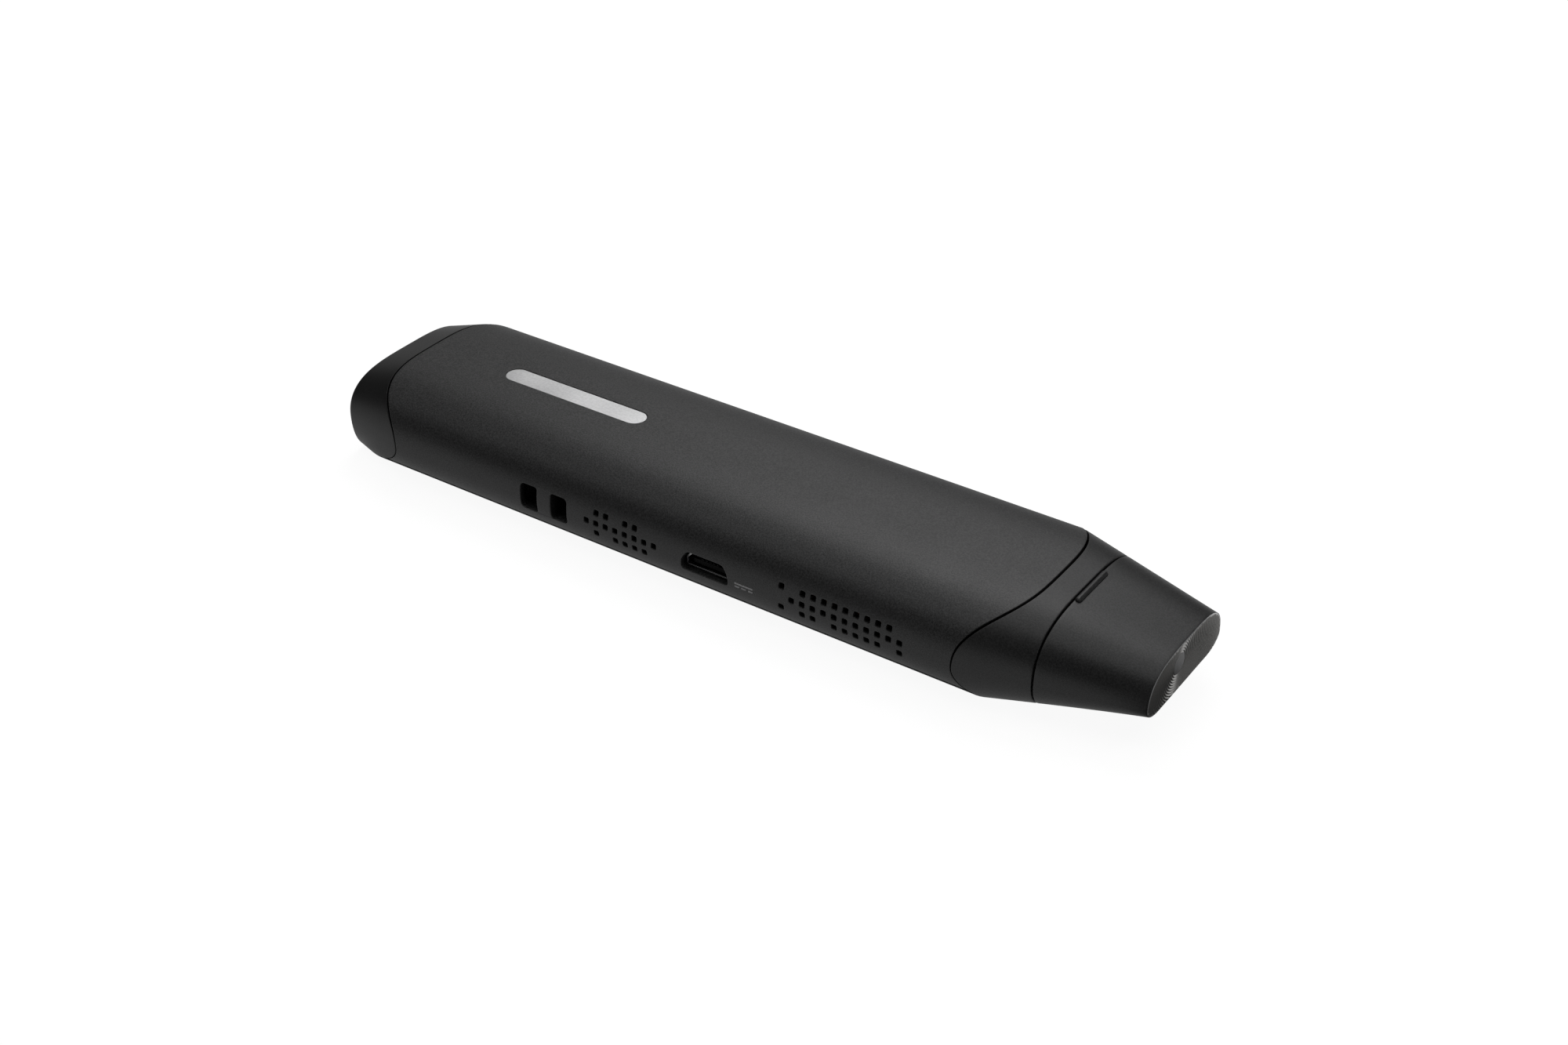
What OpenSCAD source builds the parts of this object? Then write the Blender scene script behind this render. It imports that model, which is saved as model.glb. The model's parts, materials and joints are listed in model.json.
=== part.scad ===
// Stick computer with a plug under a pull-off cap.
// Millimetres. +X points to the cap, -Y is the side with the power inlet, +Z is up.
// The origin is the centre of the footprint, on the surface that the stick lies on.

/* [Body] */
// Overall length, cap included
body_len = 137.9; // [135:0.1:142]
// Overall width
body_w = 34; // [33:0.1:36]
// Overall height
body_h = 14.9; // [14.5:0.1:16]
// Height of the widest line of the body
waist_z = 6.36; // [6:0.01:7]
// Width of the rounding at each lower edge
corner_w = 6.5; // [5:0.1:7]
// Squareness of the sides above the waist
side_power = 3.5; // [2.5:0.1:4]
// Squareness of the crown
crown_power = 2.42; // [2.2:0.01:2.8]
// Wall of the mouldings
wall = 1.2; // [1:0.1:1.3]

/* [Front taper] */
// How much narrower the tip is than the body
tip_in = 12.02; // [10:0.02:13]
// Drop of the tip's upper edge below the body's top
tip_drop = 3.14; // [2.8:0.01:3.4]
// Height of the tip's lower edge
tip_bottom = 4.23; // [3.5:0.01:4.4]
// Width of the rounding at the tip's lower corners
tip_corner = 3.86; // [3:0.01:4.5]
// Side draft of the front taper, mm per mm
tip_side_draft = 0.23; // [0.2:0.005:0.26]
// Top draft of the front taper, mm per mm
tip_top_draft = 0.164; // [0.15:0.002:0.18]
// Bottom draft of the front taper, mm per mm
tip_bottom_draft = 0.169; // [0.15:0.002:0.2]
// Length of the pull-off cap
cap_len = 15.12; // [14.5:0.01:16]

/* [Rear taper] */
// How much narrower the rear face is than the body
rear_in = 6.26; // [5:0.02:6.4]
// Drop of the rear face's upper edge below the body's top
rear_drop = 2.01; // [1.4:0.01:2.4]
// Height of the rear face's lower edge
rear_bottom = 0.3; // [0.2:0.05:0.6]
// Width of the rounding at the rear face's lower corners
rear_corner = 2.68; // [2:0.01:4]
// Side draft of the rear taper, mm per mm
rear_side_draft = 0.2475; // [0.22:0.0025:0.28]
// Top draft of the rear taper, mm per mm
rear_top_draft = 0.317; // [0.28:0.001:0.36]
// Bottom draft of the rear taper, mm per mm
rear_bottom_draft = 0.115; // [0.08:0.005:0.13]

/* [Seams] */
// Gap between the shell and the two end mouldings
seam_gap = 0.3; // [0.1:0.05:0.4]
// Gap between the collar and the cap
cap_gap = 0.2; // [0.1:0.05:0.4]
// How far below the waist the shell meets the bottom cover, degrees round the lower edge
cover_seam = 38; // [36:1:48]
// Gap between the shell and the bottom cover, degrees round the lower edge
cover_gap = 1.5; // [0.5:0.5:3]

/* [Vents] */
// Side of a vent hole
vent_hole = 0.92; // [0.6:0.02:1.1]
// Spacing of the vent holes along the body
vent_pitch = 1.756; // [1.6:0.002:1.85]
// Spacing of the vent rows
vent_rows = 1.7; // [1.5:0.01:1.8]
// Height of the middle vent row
vent_z = 6.96; // [6.6:0.01:7.2]
// First column of the intake vents, from the middle of the body
intake_x = -18.8; // [-19.4:0.1:-18.6]
// First column of the outlet vents, from the middle of the body
outlet_x = 15.6; // [15:0.1:16]

/* [Side features] */
// Middle of the strap opening, from the middle of the body
strap_x = -26.95; // [-27.4:0.05:-26.4]
// Length of the strap opening
strap_len = 8.8; // [8:0.1:9.4]
// Height of the strap opening
strap_h = 4.3; // [4:0.1:4.5]
// Width of the bar across the strap opening
strap_bar_w = 2.6; // [2:0.1:3]
// Middle of the power inlet, from the middle of the body
inlet_x = 2.45; // [2:0.05:3]
// Middle of the power button, from the middle of the body
button_x = -21; // [-22:0.5:-20]
// Length of the power button
button_len = 7; // [6:0.1:7.5]
// Height of the power button
button_h = 2.6; // [2.2:0.1:2.8]
// Travel of the power button
button_travel = 0.4; // [0.3:0.05:0.5]
// Middle of the indicator light, from the middle of the body
led_x = -12.5; // [-13:0.5:-11.5]
// Diameter of the indicator light
led_d = 1.5; // [1.2:0.1:1.8]
// Middle of the audio socket, from the rear end
audio_from_rear = 22; // [21.6:0.1:22.6]
// Bore of the audio socket
audio_bore = 3.6; // [3.5:0.05:3.7]
// Height of the side features' middle line
side_z = 6.8; // [6.6:0.1:6.9]
// Length of the inlaid nameplate
plate_len = 26.5; // [20:0.5:30]
// Width of the inlaid nameplate
plate_w = 3.6; // [3:0.1:5]
// Middle of the nameplate, from the middle of the body
plate_x = -34; // [-38:0.5:-32]

/* [Inside] */
// Thickness of the main board
board_t = 1; // [0.8:0.1:1.2]
// Height of the main board's upper face
board_top = 5.4; // [5.2:0.05:5.5]
// Width of the body that the square blower leaves free
fan_margin = 10; // [10:0.1:11]
// Height of the blower
fan_h = 4.9; // [4.6:0.1:5]
// Space between the blower's wheel and its outside
rotor_room = 2.4; // [2:0.1:3]
// Number of blades on the wheel
rotor_blades = 13; // [9:1:17]
// Number of fins on the outlet
fin_count = 18; // [12:1:22]

/* [Hidden] */
$fn = 48;
eps = 0.01;
fit = 0.1;
half_len = body_len / 2;
inner_y = body_w / 2 - wall;
arc_step = 6;
solve_steps = 24;
cap_x = half_len - cap_len;
board_z = board_top - board_t;
tip_w = body_w - tip_in;
tip_top = body_h - tip_drop;
rear_w = body_w - rear_in;
rear_top = body_h - rear_drop;
fan_side = body_w - fan_margin;
rotor_r = fan_side / 2 - rotor_room;

// Sections are [half width, lower corner width, bottom height, top height] about the shared waist.
function prism() = [body_w / 2, corner_w, 0, body_h];
function front(d) = [tip_w / 2 + tip_side_draft * d, tip_corner, tip_bottom - tip_bottom_draft * d,
                     tip_top + tip_top_draft * d];
function rear(d) = [rear_w / 2 + rear_side_draft * d, rear_corner, rear_bottom - rear_bottom_draft * d,
                    rear_top + rear_top_draft * d];
function inset(s, t) = [s[0] - t, s[1] - t, s[2] + t, s[3] - t];
function flat(s) = s[0] - s[1];

// Point of a section at an angle: -90 is the right end of the flat bottom, 90 the crown, 270 the left end.
function lower_point(s, a) = [flat(s) + s[1] * cos(a), waist_z + (waist_z - s[2]) * sin(a)];
function upper_point(s, a) = [s[0] * pow(max(cos(a), 0), 2 / side_power),
                              waist_z + (s[3] - waist_z) * pow(max(sin(a), 0), 2 / crown_power)];
function half_point(s, a) = a < 0 ? lower_point(s, a) : upper_point(s, a);
function flip(p) = [-p[0], p[1]];
function section_point(s, a) = a <= 90 ? half_point(s, a) : flip(half_point(s, 180 - a));
function angles(from, to) = [for (i = [0 : 1 : round((to - from) / arc_step)])
                             from + i * (to - from) / round((to - from) / arc_step)];

// True where a point lies inside a section.
function below_round(p, s) = pow((abs(p[0]) - flat(s)) / s[1], 2)
                             + pow((waist_z - p[1]) / (waist_z - s[2]), 2) <= 1;
function above_waist(p, s) = pow(abs(p[0]) / s[0], side_power)
                             + pow((p[1] - waist_z) / (s[3] - waist_z), crown_power) <= 1;
function inside(p, s) = p[1] >= waist_z ? above_waist(p, s)
                        : abs(p[0]) > flat(s) ? below_round(p, s)
                        : p[1] >= s[2];

// Distance from an end at which a taper meets a point of the prism.
function front_reach(p, lo = 0, hi = half_len, n = solve_steps) =
    n == 0 ? (lo + hi) / 2
           : inside(p, front((lo + hi) / 2)) ? front_reach(p, lo, (lo + hi) / 2, n - 1)
                                             : front_reach(p, (lo + hi) / 2, hi, n - 1);
function rear_reach(p, lo = 0, hi = half_len, n = solve_steps) =
    n == 0 ? (lo + hi) / 2
           : inside(p, rear((lo + hi) / 2)) ? rear_reach(p, lo, (lo + hi) / 2, n - 1)
                                            : rear_reach(p, (lo + hi) / 2, hi, n - 1);

// Carry a point of one section to the matching point of another.
function side_of(v) = v < 0 ? -1 : 1;
function map_low(p, s, t) = waist_z - (waist_z - p[1]) * (waist_z - t[2]) / (waist_z - s[2]);
function carry(p, s, t) =
    p[1] >= waist_z ? [p[0] * t[0] / s[0], waist_z + (p[1] - waist_z) * (t[3] - waist_z) / (s[3] - waist_z)]
    : abs(p[0]) > flat(s) ? [side_of(p[0]) * (flat(t) + (abs(p[0]) - flat(s)) * t[1] / s[1]),
                             map_low(p, s, t)]
    : [p[0] * flat(t) / flat(s), map_low(p, s, t)];
function at(x, p) = [x, p[0], p[1]];

// Height of the shell's inner face over a distance from the middle plane.
function ceiling(y) = waist_z + (body_h - wall - waist_z)
                      * pow(1 - pow(abs(y) / inner_y, side_power), 1 / crown_power);

whole = angles(-90, 270);
shell_edge = -cover_seam;
cover_edge = -cover_seam - cover_gap;
least_step = 1;
shell_angles = concat([shell_edge],
                      [for (a = whole) if (abs(a - 90) < 90 - shell_edge - least_step) a],
                      [180 - shell_edge]);
cover_angles = concat([180 - cover_edge], [for (a = whole) if (a > 180 - cover_edge + least_step) a],
                      [for (a = whole) if (a < cover_edge - least_step) a], [cover_edge]);
function body_point(a) = section_point(prism(), a);
function body_rows(x, points) = [for (i = [0 : len(points) - 1]) at(x[i], points[i])];

// Rings of the two tapers: each follows the lines that run from the prism's seam towards the end.
rim = [for (a = whole) body_point(a)];
front_rim = [for (p = rim) front_reach(p)];
rear_rim = [for (p = rim) rear_reach(p)];
rim_last = len(rim) - 1;
function front_ring(d, t) = [for (i = [0 : rim_last])
    at(half_len - d, carry(rim[i], front(front_rim[i]), inset(front(d), t)))];
function rear_ring(d, t) = [for (i = [0 : rim_last])
    at(d - half_len, carry(rim[i], rear(rear_rim[i]), inset(rear(d), t)))];
function front_edge(t) = [for (i = [0 : rim_last]) front_ring(front_rim[i] - seam_gap, t)[i]];
function rear_edge(t) = [for (i = [0 : rim_last]) rear_ring(rear_rim[i] - seam_gap, t)[i]];

// A wall between two end curves: rows of points on the outside and the inside, open at both edges.
module ribbon(outer_a, outer_b, inner_b, inner_a) {
    n = len(outer_a);
    rows = [outer_a, outer_b, inner_b, inner_a];
    points = [for (r = rows) each r];
    sides = [for (k = [0 : 3]) for (i = [0 : n - 2])
             [k * n + i, k * n + i + 1, (k + 1) % 4 * n + i + 1, (k + 1) % 4 * n + i]];
    ends = [[0, n, 2 * n, 3 * n], [4 * n - 1, 3 * n - 1, 2 * n - 1, n - 1]];
    polyhedron(points, [for (f = concat(sides, ends)) each [[f[0], f[2], f[1]], [f[0], f[3], f[2]]]]);
}

// A cup: an outer skin from its open edge to its end face, and an inner skin to its floor.
// Each flat end is a fan of triangles about its middle.
function middle(row) = [row[0][0], 0, waist_z];
module cup(outer_open, outer_end, inner_open, inner_end, turn) {
    n = len(outer_open);
    points = concat(outer_open, outer_end, inner_open, inner_end, [middle(outer_end), middle(inner_end)]);
    function strip(a, b) = [for (i = [0 : n - 1]) each [[a + i, a + (i + 1) % n, b + (i + 1) % n],
                                                        [a + i, b + (i + 1) % n, b + i]]];
    faces = concat(strip(0, n), strip(3 * n, 2 * n), strip(2 * n, 0),
                   [for (i = [0 : n - 1]) [n + i, n + (i + 1) % n, 4 * n]],
                   [for (i = [0 : n - 1]) [3 * n + (i + 1) % n, 3 * n + i, 4 * n + 1]]);
    polyhedron(points, turn ? faces : [for (f = faces) [f[2], f[1], f[0]]]);
}

module box(x, y, z) {
    translate([x[0], y[0], z[0]]) cube([x[1] - x[0], y[1] - y[0], z[1] - z[0]]);
}

module rod_y(r, y) {
    translate([0, y[0], 0]) rotate([-90, 0, 0]) cylinder(r = r, h = y[1] - y[0]);
}

module ring(r, w, h) {
    difference() {
        cylinder(r = r, h = h);
        translate([0, 0, -eps]) cylinder(r = r - w, h = h + 2 * eps);
    }
}

module stadium(l, w) {
    square([l - w, w], center = true);
    for (s = [-1, 1]) translate([s * (l - w) / 2, 0]) circle(d = w);
}

// Extrude an outline drawn in X and Z along Y.
module along_y(y) {
    translate([0, y[1], 0]) rotate([90, 0, 0]) linear_extrude(y[1] - y[0]) children();
}

// Extrude an outline drawn in Y and Z along X.
module along_x(x) {
    translate([x[0], 0, 0]) rotate([90, 0, 90]) linear_extrude(x[1] - x[0]) children();
}

// Fasteners of the bottom cover, which pass through the board into the shell's posts.
post_r = 2;
screw_r = 0.7;
screw_head_r = 1.5;
screw_head_h = 0.7;
screw_room = 0.05;
screw_grip = 3.6;
post_in = 5.3;
post_y = inner_y - post_in;
rear_post_x = -38;
post_back = 12.3;
front_post_x = cap_x - post_back;
posts = [for (x = [rear_post_x, front_post_x]) for (s = [-1, 1]) [x, s * post_y]];

// Power inlet and the opening in the shell in front of it.
inlet_w = 7.5;
inlet_h = 2.5;
inlet_top_w = 5.7;
inlet_low = 1.3;
inlet_depth = 5.2;
inlet_wall = 0.25;
inlet_margin = 0.32;
inlet_proud = 0.1;
inlet_front = -inner_y - inlet_proud;
module inlet_outline(m) {
    low = -m;
    high = inlet_h + m;
    polygon([[-inlet_w / 2 - m, low], [inlet_w / 2 + m, low], [inlet_w / 2 + m, inlet_low],
             [inlet_top_w / 2 + m, high], [-inlet_top_w / 2 - m, high], [-inlet_w / 2 - m, inlet_low]]);
}

// Audio socket.
audio_x = -half_len + audio_from_rear;
audio_lift = 2.2;
audio_z = board_top + audio_lift;
audio_w = 6.2;
audio_h = 5;
audio_deep = 10.6;
audio_set = 1.6;
audio_face = inner_y - audio_set;
ferrule_r = 2.9;
ferrule_sunk = 0.3;
ferrule_end = body_w / 2 - ferrule_sunk;

// Vent columns that are open in each row, top row first.
intake_open = [[1, 2, 4, 5], [0, 1, 2, 3, 4, 5, 6, 7], [1, 3, 4, 5, 6]];
outlet_open = [[0, 2, 3, 4, 5, 6, 7, 8, 9, 10], [1, 2, 3, 4, 5, 6, 7, 8, 9, 10, 11],
               [0, 2, 3, 5, 6, 7, 8, 9, 11]];
module vent_field(x0, open) {
    for (r = [0 : len(open) - 1]) for (c = open[r])
        translate([x0 + c * vent_pitch, -inner_y, vent_z + (1 - r) * vent_rows])
            cube([vent_hole, 4 * wall, vent_hole], center = true);
}

plate_t = 0.5;
plate_seat = 0.6;
strap_round = 0.7;
button_room = 0.15;

module strap_outline(m) {
    l = strap_len + 2 * m;
    h = strap_h + 2 * m;
    square([l - 2 * strap_round, h], center = true);
    square([l, h - 2 * strap_round], center = true);
    for (x = [-1, 1]) for (z = [-1, 1])
        translate([x * (l / 2 - strap_round), z * (h / 2 - strap_round)]) circle(strap_round);
}

module upper_shell() {
    outer = [for (a = shell_angles) body_point(a)];
    inner = [for (p = outer) carry(p, prism(), inset(prism(), wall))];
    rear_x = [for (p = outer) -half_len + rear_reach(p)];
    front_x = [for (p = outer) half_len - front_reach(p)];
    color("#2b2b2d") difference() {
        union() {
            ribbon(body_rows(rear_x, outer), body_rows(front_x, outer),
                   body_rows(front_x, inner), body_rows(rear_x, inner));
            for (p = posts) translate([p[0], p[1], board_top])
                cylinder(r = post_r, h = ceiling(abs(p[1])) + wall / 2 - board_top);
        }
        for (p = posts) translate([p[0], p[1], board_top - eps])
            cylinder(r = screw_r + screw_room, h = screw_grip + fit);
        vent_field(intake_x, intake_open);
        vent_field(outlet_x, outlet_open);
        translate([strap_x, 0, side_z]) along_y([-body_w, -inner_y + wall]) strap_outline(0);
        translate([inlet_x, 0, board_top]) along_y([-body_w, -inner_y + wall]) inlet_outline(inlet_margin);
        translate([button_x, 0, side_z]) along_y([inner_y - wall, body_w])
            stadium(button_len + 2 * button_room, button_h + 2 * button_room);
        translate([led_x, 0, side_z]) rod_y(led_d / 2 + screw_room, [inner_y - wall, body_w]);
        translate([audio_x, 0, audio_z]) rod_y(ferrule_r + fit, [audio_face, body_w]);
        translate([plate_x, 0, body_h - plate_seat]) linear_extrude(wall)
            stadium(plate_len + 2 * screw_room, plate_w + 2 * screw_room);
    }
}

// The cover's ends are bevelled inwards, clear of the end mouldings.
cover_bevel = 0.8;
module bottom_cover() {
    outer = [for (a = cover_angles) body_point(a)];
    inner = [for (p = outer) carry(p, prism(), inset(prism(), wall))];
    rear_x = [for (p = outer) -half_len + rear_reach(p)];
    front_x = [for (p = outer) half_len - front_reach(p)];
    color("#232324") difference() {
        union() {
            ribbon(body_rows(rear_x, outer), body_rows(front_x, outer),
                   body_rows([for (x = front_x) x - cover_bevel], inner),
                   body_rows([for (x = rear_x) x + cover_bevel], inner));
            for (p = posts) translate([p[0], p[1], wall / 2]) cylinder(r = post_r, h = board_z - wall / 2);
        }
        for (p = posts) translate([p[0], p[1], -eps]) {
            cylinder(r = screw_r + 2 * fit, h = board_z + wall);
            cylinder(r = screw_head_r + fit, h = screw_head_h + 2 * fit);
        }
    }
}

// Plug under the cap: its shell stands on the board and passes through the collar.
plug_w = 13.9;
plug_h = 4.45;
plug_low_w = 10.6;
plug_low = 1.5;
plug_out = 11.9;
plug_in = 6.3;
plug_wall = 0.3;
plug_gap = 0.22;
plug_x = [cap_x - plug_in, cap_x + plug_out];
module plug_outline(m) {
    low = board_top - m;
    polygon([[-plug_low_w / 2 - m, low], [plug_low_w / 2 + m, low], [plug_w / 2 + m, board_top + plug_low],
             [plug_w / 2 + m, board_top + plug_h + m], [-plug_w / 2 - m, board_top + plug_h + m],
             [-plug_w / 2 - m, board_top + plug_low]]);
}

module front_collar() {
    face = cap_len + cap_gap / 2;
    floor_d = face + wall;
    color("#1b1b1c") difference() {
        cup(front_edge(0), front_ring(face, 0), front_edge(wall), front_ring(floor_d, wall), false);
        along_x([half_len - floor_d - wall, half_len - face + wall]) plug_outline(plug_gap);
    }
}

// Two receptacles stand side by side behind the rear face.
port_open_w = 12.5;
port_open_h = 5.12;
port_wall = 0.25;
port_spacing = 13.1;
port_deep = 13.9;
face_t = 1;
port_z = waist_z;
port_mouth = -half_len + face_t;
port_back = port_mouth + port_deep;
port_w = port_open_w + 2 * port_wall;
port_h = port_open_h + 2 * port_wall;

module rear_bezel() {
    color("#1b1b1c") difference() {
        cup(rear_edge(0), rear_ring(0, 0), rear_edge(wall), rear_ring(face_t, wall), true);
        for (s = [-1, 1]) translate([0, s * port_spacing / 2, port_z])
            box([-half_len - wall, port_mouth + wall], [-1, 1] * port_open_w / 2,
                [-1, 1] * port_open_h / 2);
        box([port_mouth - eps, port_back], [-1, 1] * (port_spacing / 2 + port_w / 2 + fit),
            [port_z - port_h / 2 - fit, port_z + port_h / 2 + fit]);
    }
}

module nameplate() {
    color("#c9cacc") translate([plate_x, 0, body_h - plate_seat])
        linear_extrude(plate_t) stadium(plate_len, plate_w);
}

// Strap anchor: a pocket behind the opening, with a bar across it that follows the shell's curve.
pocket_wall = 0.7;
pocket_set = 0.75;
pocket_front = -inner_y + pocket_set;
pocket_deep = 3.3;
pocket_back = pocket_front + pocket_deep;
bar_sunk = 0.12;

module strap_pocket() {
    color("#161617") translate([strap_x, 0, side_z]) difference() {
        along_y([pocket_front, pocket_back]) strap_outline(pocket_wall);
        along_y([-body_w, pocket_back - pocket_wall]) strap_outline(0);
    }
}

module strap_bar() {
    color("#2b2b2d") translate([strap_x, 0, 0]) intersection() {
        translate([0, 0, side_z])
            box([-1, 1] * strap_bar_w / 2, [-body_w, pocket_back - pocket_wall],
                [-1, 1] * (strap_h / 2 - screw_room));
        along_x([-1, 1] * strap_bar_w)
            polygon([for (a = whole) section_point(inset(prism(), bar_sunk), a)]);
    }
}

// Cap: a tapered cup with a turned metal plate over its end and a liner that grips the plug.
rib_r = 0.5;
rib_len = 8.4;
rib_proud = 0.42;
rib_x = rib_r - fit / 2;
end_wall = 1.6;
end_plate_t = 0.8;
groove_count = 12;
groove_first = 1.3;
groove_step = 0.52;
groove_w = 0.2;
groove_depth = 0.1;
groove_y = -2.2;
groove_z = 8.9;

module cap_shell() {
    open_d = cap_len - cap_gap / 2;
    rib_d = open_d - rib_x;
    color("#1b1b1c") {
        cup(front_ring(open_d, 0), front_ring(end_plate_t, 0),
            front_ring(open_d, wall), front_ring(end_wall, wall), false);
        translate([half_len - rib_d, 0, front(rib_d)[3] + rib_proud - rib_r]) {
            rod_y(rib_r, [rib_r - rib_len / 2, rib_len / 2 - rib_r]);
            for (s = [-1, 1]) translate([0, s * (rib_len / 2 - rib_r), 0]) sphere(rib_r);
        }
    }
}

module cap_end_plate() {
    color("#56575a") difference() {
        along_x([half_len - end_plate_t, half_len])
            polygon([for (a = whole) section_point(front(0), a)]);
        for (i = [1 : groove_count])
            translate([half_len - groove_depth, groove_y, groove_z]) rotate([0, 90, 0])
                ring(groove_first + i * groove_step, groove_w, wall);
    }
}

liner_len = 10;
liner_half = 7.9;
liner_top_half = 5.4;
liner_top = 10.45;
liner_shoulder = 9.4;
liner_gap = 0.12;
liner_room = 0.4;
module cap_liner() {
    low = front(end_wall)[2] + wall + fit;
    liner_x = [half_len - end_wall - liner_len, half_len - end_wall];
    color("#3a3a3c") difference() {
        along_x(liner_x) polygon([[-liner_half, waist_z], [-liner_half, liner_shoulder],
                                  [-liner_top_half, liner_top], [liner_top_half, liner_top],
                                  [liner_half, liner_shoulder], [liner_half, waist_z],
                                  [flat(front(0)), low], [-flat(front(0)), low]]);
        along_x([liner_x[0] - wall, plug_x[1] + liner_room]) {
            plug_outline(liner_gap);
            translate([-plug_low_w / 2 - liner_gap, low - wall])
                square([plug_low_w + 2 * liner_gap, board_top - low + wall]);
        }
    }
}

// Power button on the far side, with the switch that it presses.
flange_t = 0.6;
flange_lip = 0.6;
flange_set = 1.2;
flange_y = inner_y - flange_set;
stem_len = 0.6;
stem_y = flange_y - stem_len;
plunger_r = 0.8;
plunger_in = 1.5;
switch_room = 0.6;
switch_face = stem_y - button_travel - switch_room;
switch_deep = 1.9;
switch_w = 4;
switch_h = 2.8;
bore_room = 0.2;
switch_bore = stem_y - plunger_in - button_travel - bore_room;

module power_button() {
    color("#202021") translate([button_x, 0, side_z]) {
        along_y([flange_y + flange_t, body_w / 2]) stadium(button_len, button_h);
        along_y([flange_y, flange_y + flange_t])
            stadium(button_len + 2 * flange_lip, button_h + 2 * flange_lip);
        rod_y(plunger_r, [stem_y, flange_y]);
    }
}

module switch_plunger() {
    color("#b4552d") translate([button_x, 0, side_z]) rod_y(plunger_r, [stem_y - plunger_in, stem_y]);
}

module switch_body() {
    color("#8e9092") translate([button_x, 0, 0]) difference() {
        box([-switch_w / 2, switch_w / 2], [switch_face - switch_deep, switch_face],
            [board_top, board_top + switch_h]);
        translate([0, 0, side_z]) rod_y(plunger_r + fit / 2, [switch_bore, switch_face + wall]);
    }
}

led_w = 1.6;
led_deep = 1;
led_h = 1.9;
led_set = 3.6;
led_y = inner_y - led_set;
module light_pipe() {
    color("#e8eef2") translate([led_x, 0, side_z]) rod_y(led_d / 2, [led_y, body_w / 2 - screw_room]);
}

module power_led() {
    color("#f2ead0") translate([led_x, 0, 0])
        box([-led_w / 2, led_w / 2], [led_y - led_deep, led_y], [board_top, board_top + led_h]);
}

// Cooling: the processor heats a plate, a flat pipe carries the heat to fins at the outlet vents.
chip_x = -6;
chip_side = 15;
chip_h = 1.1;
pad_side = 12;
pad_t = 0.4;
cold_w = 20;
cold_d = 18;
cold_t = 1.7;
chip_y = led_y - led_deep - 2 * fit - cold_d / 2;
cold_low = board_top + chip_h + pad_t;
pipe_z = cold_low + cold_t;
pipe_t = 1.2;
pipe_w = 4;
cold_screw_r = 0.6;
cold_post_r = 1.2;
cold_edge = 1.1;
cold_screw_x = cold_w / 2 - cold_edge;
cold_screw_y = cold_d / 2 - cold_edge;
cold_head_r = 1;
cold_head_h = 0.5;
cold_corners = [for (x = [-1, 1]) for (y = [-1, 1])
                [chip_x + x * cold_screw_x, chip_y + y * cold_screw_y]];

fan_from_outlet = 9.4;
fan_x = outlet_x + fan_from_outlet;
fan_set = 5.7;
fan_y = fan_set - inner_y + fan_side / 2;
fan_wall = 0.8;
fan_floor = 0.6;
fan_lid = 0.5;
fan_bore = fan_side / 2 - fan_wall;
fan_inlet_r = 8;
fan_outlet_w = 16;
fan_screw_r = 0.55;
fan_edge = 1.6;
fan_screw_at = fan_side / 2 - fan_edge;
fan_head_r = 1.1;
fan_head_h = 0.5;
fan_corners = [for (x = [-1, 1]) for (y = [-1, 1]) [fan_x + x * fan_screw_at, fan_y + y * fan_screw_at]];
fan_base = board_top + fan_floor;
fan_top = board_top + fan_h;
fin_t = 0.25;
fin_len = 22;
fin_deep = 4.3;
fin_floor = 0.4;
fin_set = 1;
fin_y = -inner_y + fin_set;
pipe_y = fan_set - inner_y - fit - pipe_w / 2;
pipe_start = 6;
pipe_turn = 10.5;
pipe_lead = 2;

module processor() {
    die = 9;
    die_t = 0.35;
    color("#1f4d36") translate([chip_x, chip_y, 0]) {
        box([-1, 1] * chip_side / 2, [-1, 1] * chip_side / 2, [board_top, board_top + chip_h - die_t]);
        box([-1, 1] * die / 2, [-1, 1] * die / 2, [board_top + chip_h - die_t, board_top + chip_h]);
    }
}

module thermal_pad() {
    color("#9db7c9") translate([chip_x, chip_y, 0])
        box([-1, 1] * pad_side / 2, [-1, 1] * pad_side / 2, [board_top + chip_h, cold_low]);
}

module cold_plate() {
    color("#b8734a") difference() {
        union() {
            translate([chip_x, chip_y, 0])
                box([-1, 1] * cold_w / 2, [-1, 1] * cold_d / 2, [cold_low, pipe_z]);
            for (p = cold_corners) translate([p[0], p[1], board_top])
                cylinder(r = cold_post_r, h = cold_low - board_top);
        }
        for (p = cold_corners) translate([p[0], p[1], board_top - wall])
            cylinder(r = cold_screw_r + fit, h = pipe_z - board_top + 2 * wall);
    }
}

module heat_pipe() {
    route = [[chip_x - pipe_start, chip_y], [chip_x + pipe_turn, chip_y],
             [fan_x - fan_side / 2 - pipe_lead, pipe_y], [fan_x + fin_len / 2, pipe_y]];
    color("#c27a4b") translate([0, 0, pipe_z]) linear_extrude(pipe_t) for (i = [0 : len(route) - 2])
        hull() {
            translate(route[i]) circle(d = pipe_w);
            translate(route[i + 1]) circle(d = pipe_w);
        }
}

module fin_stack() {
    color("#c9a27c") translate([fan_x, 0, 0]) {
        box([-1, 1] * fin_len / 2, [fin_y, fin_y + fin_deep], [board_top, board_top + fin_floor]);
        for (i = [0 : fin_count - 1]) translate([(i / (fin_count - 1) - 0.5) * (fin_len - fin_t), 0, 0])
            box([-1, 1] * fin_t / 2, [fin_y, fin_y + fin_deep], [board_top + fin_floor - eps, pipe_z]);
    }
}

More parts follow.
